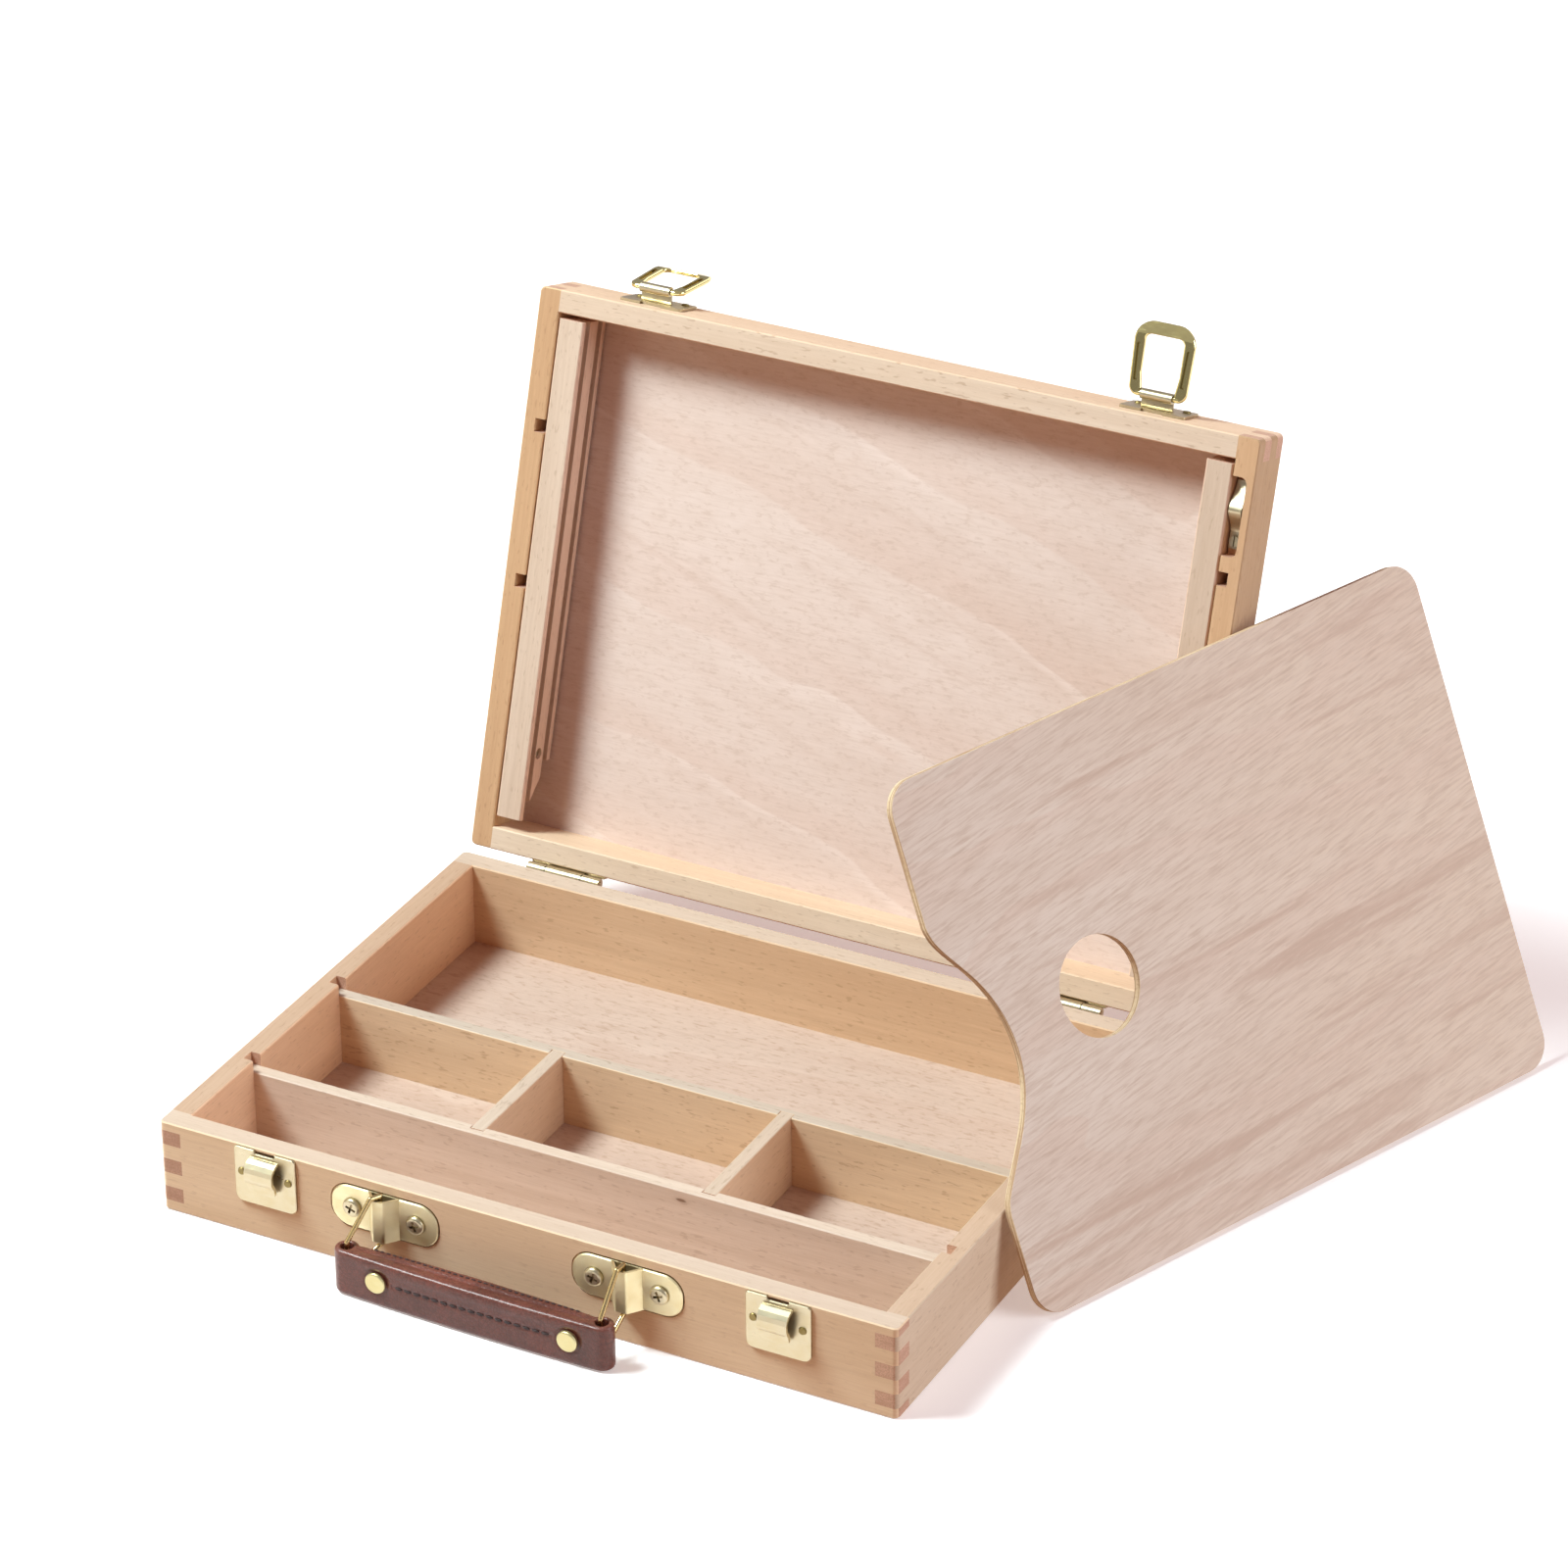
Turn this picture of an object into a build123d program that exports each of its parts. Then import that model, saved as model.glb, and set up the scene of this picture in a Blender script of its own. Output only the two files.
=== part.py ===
"""Pochade box: a finger-jointed sketch box whose hinged lid carries two slotted canvas rails,
with draw latches, a leather grip on wire rings, brass butt hinges, compartment dividers and a
thumb-hole palette leaning beside it. Millimetres, +Z up, origin at the centre of the underside."""

import os
from math import cos, hypot, radians, sin

from build123d import *

os.makedirs("parts", exist_ok=True)

# ---------------------------------------------------------------- case
WIDTH = 340.0          # outside, along X
DEPTH = 251.3          # outside, along Y
BASE_H = 42.5          # height of the base tray
LID_H = 26.3           # height of the lid
RIM_GAP = 0.6          # saw kerf left between the two rims
WALL = 10.0            # wall stock
PANEL_T = 3.9          # plywood bottom
LID_PANEL_T = 3.5      # plywood lid panel
RABBET = 5.0           # how far the panels run into the walls
CORNER_R = 2.4         # eased outer corners
EASE = 0.5             # eased rim edges

HW, HD = WIDTH / 2, DEPTH / 2
IN_X, IN_Y = HW - WALL, HD - WALL
LID_Z0 = BASE_H + RIM_GAP
LID_Z1 = LID_Z0 + LID_H
LID_IN = LID_Z1 - LID_PANEL_T
BASE_SIDE_FINGERS = [(4.75, 11.5), (18.25, 25.0), (31.75, 38.5)]
BASE_END_FINGERS = [(0.0, 4.75), (11.5, 18.25), (25.0, 31.75), (38.5, BASE_H)]
LID_SIDE_FINGERS = [(LID_Z0, 49.3), (56.0, 62.7)]
LID_END_FINGERS = [(49.3, 56.0), (62.7, LID_Z1)]

# ---------------------------------------------------------------- dividers
DIV_T = 6.0            # long divider thickness
SHORT_T = 6.4          # short divider thickness
DIV_TOP = 37.0         # divider tops, below the rim so the palette can lie on them
LONG_Y = (-65.05, 4.35)
SHORT_X = (-54.2, 54.0)
DADO = 4.6             # dado depth in the side walls
HOUSING = 3.0          # housing depth in the long dividers

# ---------------------------------------------------------------- hinges
OPEN_DEG = 107.59      # lid opening at rest
HINGE_Y = HD + 2.9
HINGE_Z = 41.0
HINGE_X = (-121.0, 121.0)
LEAF_W, LEAF_T = 36.0, 1.2
BARREL_R, PIN_R, BORE_R = 2.5, 1.2, 1.25
HINGE_SCREW_DX = 10.5

# ---------------------------------------------------------------- latches
LATCH_X = {"left": -119.8, "right": 117.4}
CATCH_X = {"left": -118.7, "right": 117.8}
LOOP_ANGLE = {"left": 169.0, "right": 90.5}   # from hanging closed, at rest
CATCH_W, CATCH_Z0, CATCH_Z1 = 29.0, 15.7, 41.9
TONGUE_W = 13.2
NAIL_DX, NAIL_Z = 11.0, 30.4
LATCH_W, LATCH_Z0, LATCH_Z1 = 30.0, 49.8, 65.8
PLATE_T = 1.2
AXIS_OUT, AXIS_Z = 7.0, 53.8   # latch axle, out from the face and above the underside
AXLE_R, EYE_R, CURL_R = 1.22, 1.3, 2.2
LOOP_LEN, LOOP_IN, LOOP_T = 30.8, 25.2, 2.2
LATCH_NAIL_Z = 61.8

# ---------------------------------------------------------------- handle
HANDLE_X = {"left": -62.5, "right": 49.75}
HANDLE_Z = 27.8
HPLATE_W, HPLATE_H, HPLATE_T = 50.0, 19.5, 1.6
HPLATE_RECESS = 0.9    # mortise depth under each handle plate
HSCREW_DX = 14.9
BRIDGE_OUT = 6.4
BRIDGE_FOOT, BRIDGE_TOP = 7.3, 2.7   # half widths of the bridge at the plate and at its crown
RING_R = 1.1
BAR_OUT = 3.5          # ring bar, out from the front face
RING_TURN = 4.5        # run over the bridge's top edge before the wire drops to the grip
GRIP_AT = {"left": (-7.9, 17.4), "right": (-1.9, 19.4)}   # outer bar, from the plate centre and out from the face
RING_Z = (16.4, 38.95, 22.3, 5.6)
GRIP_Z0, GRIP_Z1 = 0.3, 21.0
EYE_OUT, EYE_IN = 5.2, 2.7
EYE_SHIFT = 0.6        # how far the grip's right eye sits beyond its bar

# ---------------------------------------------------------------- canvas rails
RAIL_X0, RAIL_W = IN_X - 0.6, 12.2
RAIL_Z = (43.5, 64.2)
RAIL_Y = (-113.25, 110.35)
PIVOT_Y, PIVOT_Z = 80.85, 53.0
PIVOT_R, PIVOT_BORE = 1.5, 1.56
SPRING_Y = -80.5       # screw of the leaf spring

# ---------------------------------------------------------------- palette
PAL_L, PAL_H, PAL_T = 299.1, 226.6, 3.6
PAL_ORIGIN = (193.4, -36.75, 1.62)
PAL_HEADING, PAL_LEAN = 68.82, 24.87

# ---------------------------------------------------------------- lid frame
A = radians(OPEN_DEG)


def lid_point(x, y, z):
    """A point given on the shut lid, carried to where the open lid has it."""
    dy, dz = y - HINGE_Y, z - HINGE_Z
    return (x, HINGE_Y + dy * cos(A) + dz * sin(A), HINGE_Z - dy * sin(A) + dz * cos(A))


LID = Plane(origin=lid_point(0, 0, 0), x_dir=(1, 0, 0), z_dir=(0, sin(A), cos(A)))
LID_FRONT = Plane(origin=lid_point(0, -HD, 0), x_dir=(1, 0, 0), z_dir=(0, -cos(A), sin(A)))
LID_BACK = Plane(origin=lid_point(0, HD, 0), x_dir=(-1, 0, 0), z_dir=(0, cos(A), -sin(A)))


def lid_side(x):
    """A sketch plane across the lid: its axes are the shut lid's Y and Z."""
    return Plane(origin=lid_point(x, 0, 0), x_dir=(0, cos(A), -sin(A)), z_dir=(1, 0, 0))


FRONT = Plane.XZ.offset(HD)
BACK = Plane(origin=(0, HD, 0), x_dir=(-1, 0, 0), z_dir=(0, 1, 0))


def side(x):
    """A sketch plane across the base: its axes are Y and Z."""
    return Plane(origin=(x, 0, 0), x_dir=(0, 1, 0), z_dir=(1, 0, 0))


# ================================================================ base tray
with BuildPart() as base_outline:
    with BuildSketch():
        RectangleRounded(WIDTH, DEPTH, CORNER_R)
    extrude(amount=BASE_H)
    chamfer(base_outline.faces().sort_by(Axis.Z)[-1].edges(), EASE)
    chamfer(base_outline.faces().sort_by(Axis.Z)[0].edges(), EASE)

with BuildPart() as base_mouth:
    with BuildSketch(Plane.XY.offset(BASE_H - EASE)):
        Rectangle(2 * IN_X, 2 * IN_Y)
    extrude(amount=EASE, taper=-45)

for name, sx in (("left", -1), ("right", 1)):
    with BuildPart() as base_side_wall:
        with Locations((sx * (HW - WALL / 2), 0, BASE_H / 2)):
            Box(WALL, DEPTH - 2 * WALL, BASE_H)
        for z0, z1 in BASE_SIDE_FINGERS:
            with Locations((sx * (HW - WALL / 2), 0, (z0 + z1) / 2)):
                Box(WALL, DEPTH, z1 - z0)
        with Locations((0, 0, PANEL_T / 2)):
            Box(2 * (IN_X + RABBET), 2 * (IN_Y + RABBET), PANEL_T, mode=Mode.SUBTRACT)
        with Locations(*[(sx * (IN_X + DADO / 2), y, BASE_H / 2) for y in LONG_Y]):
            Box(DADO, DIV_T, BASE_H, mode=Mode.SUBTRACT)
        add(base_mouth.part, mode=Mode.SUBTRACT)
        add(base_outline.part, mode=Mode.INTERSECT)
    base_side_wall.part.label = f"base_wall_{name}"
    export_step(base_side_wall.part, f"parts/base_wall_{name}.step")

with BuildPart() as base_wall_front:
    with Locations((0, -(HD - WALL / 2), BASE_H / 2)):
        Box(2 * IN_X, WALL, BASE_H)
    for z0, z1 in BASE_END_FINGERS:
        with Locations((0, -(HD - WALL / 2), (z0 + z1) / 2)):
            Box(WIDTH, WALL, z1 - z0)
    with Locations((0, 0, PANEL_T / 2)):
        Box(2 * (IN_X + RABBET), 2 * (IN_Y + RABBET), PANEL_T, mode=Mode.SUBTRACT)
    add(base_mouth.part, mode=Mode.SUBTRACT)
    add(base_outline.part, mode=Mode.INTERSECT)
    with BuildSketch(FRONT):
        with Locations(*[(x + s * NAIL_DX, NAIL_Z) for x in CATCH_X.values() for s in (-1, 1)]):
            Circle(0.8)
        with Locations(*[(x + s * HSCREW_DX, HANDLE_Z) for x in HANDLE_X.values() for s in (-1, 1)]):
            Circle(1.8)
    extrude(amount=-8.5, mode=Mode.SUBTRACT)
    with BuildSketch(FRONT):  # mortises for the handle plates
        with Locations(*[(x, HANDLE_Z) for x in HANDLE_X.values()]):
            RectangleRounded(HPLATE_W + 1.3, HPLATE_H + 1.3, 9.2)
    extrude(amount=-HPLATE_RECESS, mode=Mode.SUBTRACT)
    with BuildSketch(FRONT):  # clearance behind the notch in each catch plate
        with Locations(*[(x, 40.35) for x in CATCH_X.values()]):
            SlotOverall(9.4, 1.5)
    extrude(amount=-4.0, mode=Mode.SUBTRACT)
base_wall_front.part.label = "base_wall_front"
export_step(base_wall_front.part, "parts/base_wall_front.step")

with BuildPart() as base_wall_back:
    with Locations((0, HD - WALL / 2, BASE_H / 2)):
        Box(2 * IN_X, WALL, BASE_H)
    for z0, z1 in BASE_END_FINGERS:
        with Locations((0, HD - WALL / 2, (z0 + z1) / 2)):
            Box(WIDTH, WALL, z1 - z0)
    with Locations((0, 0, PANEL_T / 2)):
        Box(2 * (IN_X + RABBET), 2 * (IN_Y + RABBET), PANEL_T, mode=Mode.SUBTRACT)
    add(base_mouth.part, mode=Mode.SUBTRACT)
    add(base_outline.part, mode=Mode.INTERSECT)
    with BuildSketch(BACK):
        with Locations(*[(-x + s * HINGE_SCREW_DX, 29.5) for x in HINGE_X for s in (-1, 1)]):
            Circle(1.3)
    extrude(amount=-8.0, mode=Mode.SUBTRACT)
base_wall_back.part.label = "base_wall_back"
export_step(base_wall_back.part, "parts/base_wall_back.step")

with BuildPart() as base_panel:
    with Locations((0, 0, PANEL_T / 2)):
        Box(2 * (IN_X + RABBET), 2 * (IN_Y + RABBET), PANEL_T)
base_panel.part.label = "base_panel"
export_step(base_panel.part, "parts/base_panel.step")

# long dividers sit in the side walls' dadoes, the short ones in the long ones' housings
for name, y, inward in (("front", LONG_Y[0], 1), ("rear", LONG_Y[1], -1)):
    with BuildPart() as long_divider:
        with Locations((0, y, (PANEL_T + DIV_TOP) / 2)):
            Box(2 * (IN_X + DADO), DIV_T, DIV_TOP - PANEL_T)
        chamfer(long_divider.faces().sort_by(Axis.Z)[-1].edges().filter_by(Axis.X), 0.4)
        with Locations(*[(x, y + inward * (DIV_T - HOUSING) / 2, (PANEL_T + DIV_TOP) / 2) for x in SHORT_X]):
            Box(SHORT_T, HOUSING, DIV_TOP - PANEL_T, mode=Mode.SUBTRACT)
    long_divider.part.label = f"long_divider_{name}"
    export_step(long_divider.part, f"parts/long_divider_{name}.step")

SHORT_Y0 = LONG_Y[0] + DIV_T / 2 - HOUSING + 0.5   # play left at the front housing
SHORT_Y1 = LONG_Y[1] - DIV_T / 2 + HOUSING
for name, x in (("left", SHORT_X[0]), ("right", SHORT_X[1])):
    with BuildPart() as short_divider:
        with Locations((x, (SHORT_Y0 + SHORT_Y1) / 2, (PANEL_T + DIV_TOP) / 2)):
            Box(SHORT_T, SHORT_Y1 - SHORT_Y0, DIV_TOP - PANEL_T)
        chamfer(short_divider.faces().sort_by(Axis.Z)[-1].edges().filter_by(Axis.Y), 0.4)
    short_divider.part.label = f"short_divider_{name}"
    export_step(short_divider.part, f"parts/short_divider_{name}.step")

# ================================================================ lid
# outline and mouth of the shut lid, carried to the open lid where the walls take them in
with BuildPart() as lid_outline:
    with BuildSketch(Plane.XY.offset(LID_Z0)):
        RectangleRounded(WIDTH, DEPTH, CORNER_R)
    extrude(amount=LID_H)
    chamfer(lid_outline.faces().sort_by(Axis.Z)[-1].edges(), 0.9)
    chamfer(lid_outline.faces().sort_by(Axis.Z)[0].edges(), EASE)

with BuildPart() as lid_mouth:
    with BuildSketch(Plane(origin=(0, 0, LID_Z0 + EASE), x_dir=(1, 0, 0), z_dir=(0, 0, -1))):
        Rectangle(2 * IN_X, 2 * IN_Y)
    extrude(amount=EASE, taper=-45)

LID_MID = (LID_Z0 + LID_Z1) / 2
for name, sx in (("left", -1), ("right", 1)):
    with BuildPart(LID) as lid_side_wall:
        with Locations((sx * (HW - WALL / 2), 0, LID_MID)):
            Box(WALL, DEPTH - 2 * WALL, LID_H)
        for z0, z1 in LID_SIDE_FINGERS:
            with Locations((sx * (HW - WALL / 2), 0, (z0 + z1) / 2)):
                Box(WALL, DEPTH, z1 - z0)
        with Locations((0, 0, LID_Z1 - LID_PANEL_T / 2)):
            Box(2 * (IN_X + RABBET), 2 * (IN_Y + RABBET), LID_PANEL_T, mode=Mode.SUBTRACT)
        with Locations(*[(sx * (IN_X + DADO / 2), y, LID_MID) for y in LONG_Y]):
            Box(DADO, DIV_T, LID_H, mode=Mode.SUBTRACT)
        with Locations((sx * (IN_X + 2.9), PIVOT_Y, PIVOT_Z)):
            Cylinder(PIVOT_R, 6.0, rotation=(0, 90, 0), mode=Mode.SUBTRACT)
        if sx > 0:  # pocket for the leaf spring that bears on the right rail
            with BuildSketch(LID.offset(LID_Z0 - 1)):
                with Locations((IN_X + 2.2, -91.65)):
                    RectangleRounded(8.8, 34.0, 3.0)
            extrude(amount=8.5, mode=Mode.SUBTRACT)
            with Locations((IN_X + 2.9, SPRING_Y, 53.4)):
                Cylinder(1.0, 7.4, mode=Mode.SUBTRACT)
        add(lid_mouth.part, mode=Mode.SUBTRACT)
        add(lid_outline.part, mode=Mode.INTERSECT)
    lid_side_wall.part.label = f"lid_wall_{name}"
    export_step(lid_side_wall.part, f"parts/lid_wall_{name}.step")

with BuildPart(LID) as lid_wall_front:
    with Locations((0, -(HD - WALL / 2), LID_MID)):
        Box(2 * IN_X, WALL, LID_H)
    for z0, z1 in LID_END_FINGERS:
        with Locations((0, -(HD - WALL / 2), (z0 + z1) / 2)):
            Box(WIDTH, WALL, z1 - z0)
    with Locations((0, 0, LID_Z1 - LID_PANEL_T / 2)):
        Box(2 * (IN_X + RABBET), 2 * (IN_Y + RABBET), LID_PANEL_T, mode=Mode.SUBTRACT)
    add(lid_mouth.part, mode=Mode.SUBTRACT)
    add(lid_outline.part, mode=Mode.INTERSECT)
    with BuildSketch(LID_FRONT):
        with Locations(*[(x + s * NAIL_DX, LATCH_NAIL_Z) for x in LATCH_X.values() for s in (-1, 1)]):
            Circle(0.8)
    extrude(amount=-8.0, mode=Mode.SUBTRACT)
lid_wall_front.part.label = "lid_wall_front"
export_step(lid_wall_front.part, "parts/lid_wall_front.step")

with BuildPart(LID) as lid_wall_back:
    with Locations((0, HD - WALL / 2, LID_MID)):
        Box(2 * IN_X, WALL, LID_H)
    for z0, z1 in LID_END_FINGERS:
        with Locations((0, HD - WALL / 2, (z0 + z1) / 2)):
            Box(WIDTH, WALL, z1 - z0)
    with Locations((0, 0, LID_Z1 - LID_PANEL_T / 2)):
        Box(2 * (IN_X + RABBET), 2 * (IN_Y + RABBET), LID_PANEL_T, mode=Mode.SUBTRACT)
    add(lid_mouth.part, mode=Mode.SUBTRACT)
    add(lid_outline.part, mode=Mode.INTERSECT)
    with BuildSketch(LID_BACK):
        with Locations(*[(-x + s * HINGE_SCREW_DX, 54.0) for x in HINGE_X for s in (-1, 1)]):
            Circle(1.3)
    extrude(amount=-8.0, mode=Mode.SUBTRACT)
lid_wall_back.part.label = "lid_wall_back"
export_step(lid_wall_back.part, "parts/lid_wall_back.step")

with BuildPart(LID) as lid_panel:
    with Locations((0, 0, LID_Z1 - LID_PANEL_T / 2)):
        Box(2 * (IN_X + RABBET), 2 * (IN_Y + RABBET), LID_PANEL_T)
lid_panel.part.label = "lid_panel"
export_step(lid_panel.part, "parts/lid_panel.step")

# ================================================================ hinges
for name, hx in (("left", HINGE_X[0]), ("right", HINGE_X[1])):
    with BuildPart() as hinge_base_leaf:
        with Locations((hx, HD + LEAF_T / 2, 29.3)):
            Box(LEAF_W, LEAF_T, 17.0)
        with Locations(*[(hx + s * 13.5, HD + 0.7, 39.4) for s in (-1, 1)]):
            Box(8.7, 1.4, 3.2)
        with Locations(*[(hx + s * 13.5, HINGE_Y, HINGE_Z) for s in (-1, 1)]):
            Cylinder(BARREL_R, 8.7, rotation=(0, 90, 0))
        with Locations((hx, HINGE_Y, HINGE_Z)):
            Cylinder(PIN_R, 40.0, rotation=(0, 90, 0), mode=Mode.SUBTRACT)
        with Locations(BACK.offset(LEAF_T)):
            with Locations(*[(-hx + s * HINGE_SCREW_DX, 29.5) for s in (-1, 1)]):
                CounterSinkHole(1.3, 2.5, depth=LEAF_T + 1)
    hinge_base_leaf.part.label = f"hinge_base_leaf_{name}"
    export_step(hinge_base_leaf.part, f"parts/hinge_base_leaf_{name}.step")

    with BuildPart() as hinge_pin:
        with Locations((hx, HINGE_Y, HINGE_Z)):
            Cylinder(PIN_R, 36.4, rotation=(0, 90, 0))
        chamfer(hinge_pin.edges(), 0.25)
    hinge_pin.part.label = f"hinge_pin_{name}"
    export_step(hinge_pin.part, f"parts/hinge_pin_{name}.step")

    with BuildPart(LID) as hinge_lid_leaf:
        with Locations((hx, HD + LEAF_T / 2, 53.2)):
            Box(LEAF_W, LEAF_T, 18.2)
        with Locations((hx, HD + 1.0, 42.6)):
            Box(17.4, 1.2, 3.8)
        with Locations((hx, HINGE_Y, HINGE_Z)):
            Cylinder(BARREL_R, 17.4, rotation=(0, 90, 0))
            Cylinder(BORE_R, 40.0, rotation=(0, 90, 0), mode=Mode.SUBTRACT)
    with BuildPart() as lid_leaf_sinks:
        with BuildSketch(LID_BACK.offset(LEAF_T)):
            with Locations(*[(-hx + s * HINGE_SCREW_DX, 54.0) for s in (-1, 1)]):
                Circle(2.5)
        extrude(amount=-LEAF_T, taper=45)
        with BuildSketch(LID_BACK.offset(LEAF_T)):
            with Locations(*[(-hx + s * HINGE_SCREW_DX, 54.0) for s in (-1, 1)]):
                Circle(1.3)
        extrude(amount=-LEAF_T - 1)
    with BuildPart() as hinge_leaf_cut:
        add(hinge_lid_leaf.part)
        add(lid_leaf_sinks.part, mode=Mode.SUBTRACT)
    hinge_leaf_cut.part.label = f"hinge_lid_leaf_{name}"
    export_step(hinge_leaf_cut.part, f"parts/hinge_lid_leaf_{name}.step")

    for where, plane, z in (("base", BACK, 29.5), ("lid", LID_BACK, 54.0)):
        with BuildPart() as hinge_screws:
            with BuildSketch(plane.offset(LEAF_T)):
                with Locations(*[(-hx + s * HINGE_SCREW_DX, z) for s in (-1, 1)]):
                    Circle(2.5)
            extrude(amount=-LEAF_T, taper=45)
            with BuildSketch(plane.offset(LEAF_T / 2)):
                with Locations(*[(-hx + s * HINGE_SCREW_DX, z) for s in (-1, 1)]):
                    Circle(1.3)
            extrude(amount=-LEAF_T / 2 - 7.8)
            with BuildSketch(plane.offset(LEAF_T)):
                with Locations(*[(-hx + s * HINGE_SCREW_DX, z) for s in (-1, 1)]):
                    Rectangle(5.2, 0.6, rotation=25)
            extrude(amount=-0.5, mode=Mode.SUBTRACT)
        hinge_screws.part.label = f"hinge_{where}_screws_{name}"
        export_step(hinge_screws.part, f"parts/hinge_{where}_screws_{name}.step")

# ================================================================ latches
F = -HD
for name, cx in CATCH_X.items():
    # catch on the base: a plate with a strap pressed out of it that points down, its end turned back in
    with BuildPart() as catch_tongue:
        with BuildSketch(side(cx)):
            with BuildLine():
                Polyline((F - 0.6, 39.0), (F - 2.6, 38.6), (F - 4.9, 37.6), (F - 6.3, 36.0), (F - 6.85, 34.0),
                         (F - 6.85, 31.0), (F - 6.2, 29.4), (F - 5.4, 28.4), (F - 4.6, 25.6), (F - 4.2, 23.3),
                         (F - 3.0, 23.5), (F - 3.4, 26.2), (F - 4.3, 29.0), (F - 5.0, 30.2), (F - 5.65, 31.2),
                         (F - 5.65, 34.0), (F - 5.2, 35.4), (F - 4.1, 36.6), (F - 2.2, 37.4), (F - 0.6, 37.6), close=True)
            make_face()
        extrude(amount=TONGUE_W / 2, both=True)
        with BuildSketch(FRONT.offset(-2)):
            with BuildLine():
                Polyline((cx - TONGUE_W / 2, 40.0), (cx - TONGUE_W / 2, 23.2), (cx + TONGUE_W / 2, 23.2),
                         (cx + TONGUE_W / 2, 40.0), close=True)
            make_face()
            fillet(vertices().group_by(Axis.Y)[0], 2.8)
        extrude(amount=12.0, mode=Mode.INTERSECT)
    with BuildPart() as catch_plate:
        with BuildSketch(FRONT):
            with Locations((cx, (CATCH_Z0 + CATCH_Z1) / 2)):
                Rectangle(CATCH_W, CATCH_Z1 - CATCH_Z0)
            fillet(vertices().group_by(Axis.Y)[0], 3.6)
            fillet(vertices().group_by(Axis.Y)[-1], 1.4)
            with Locations((cx, CATCH_Z1)):
                RectangleRounded(9.8, 3.2, 1.2, mode=Mode.SUBTRACT)
            with Locations(*[(cx + s * NAIL_DX, NAIL_Z) for s in (-1, 1)]):
                Circle(0.8, mode=Mode.SUBTRACT)
        extrude(amount=PLATE_T)
        chamfer(catch_plate.faces().sort_by(Axis.Y)[0].outer_wire().edges(), 0.3)
        add(catch_tongue.part)
    catch_plate.part.label = f"catch_plate_{name}"
    export_step(catch_plate.part, f"parts/catch_plate_{name}.step")

    with BuildPart() as catch_nails:
        with BuildSketch(FRONT.offset(PLATE_T + 0.7)):
            with Locations(*[(cx + s * NAIL_DX, NAIL_Z) for s in (-1, 1)]):
                Circle(0.8)
        extrude(amount=-8.5)
        with BuildSketch(FRONT.offset(PLATE_T)):
            with Locations(*[(cx + s * NAIL_DX, NAIL_Z) for s in (-1, 1)]):
                Circle(1.8)
        extrude(amount=0.7, taper=25)
    catch_nails.part.label = f"catch_nails_{name}"
    export_step(catch_nails.part, f"parts/catch_nails_{name}.step")

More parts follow.
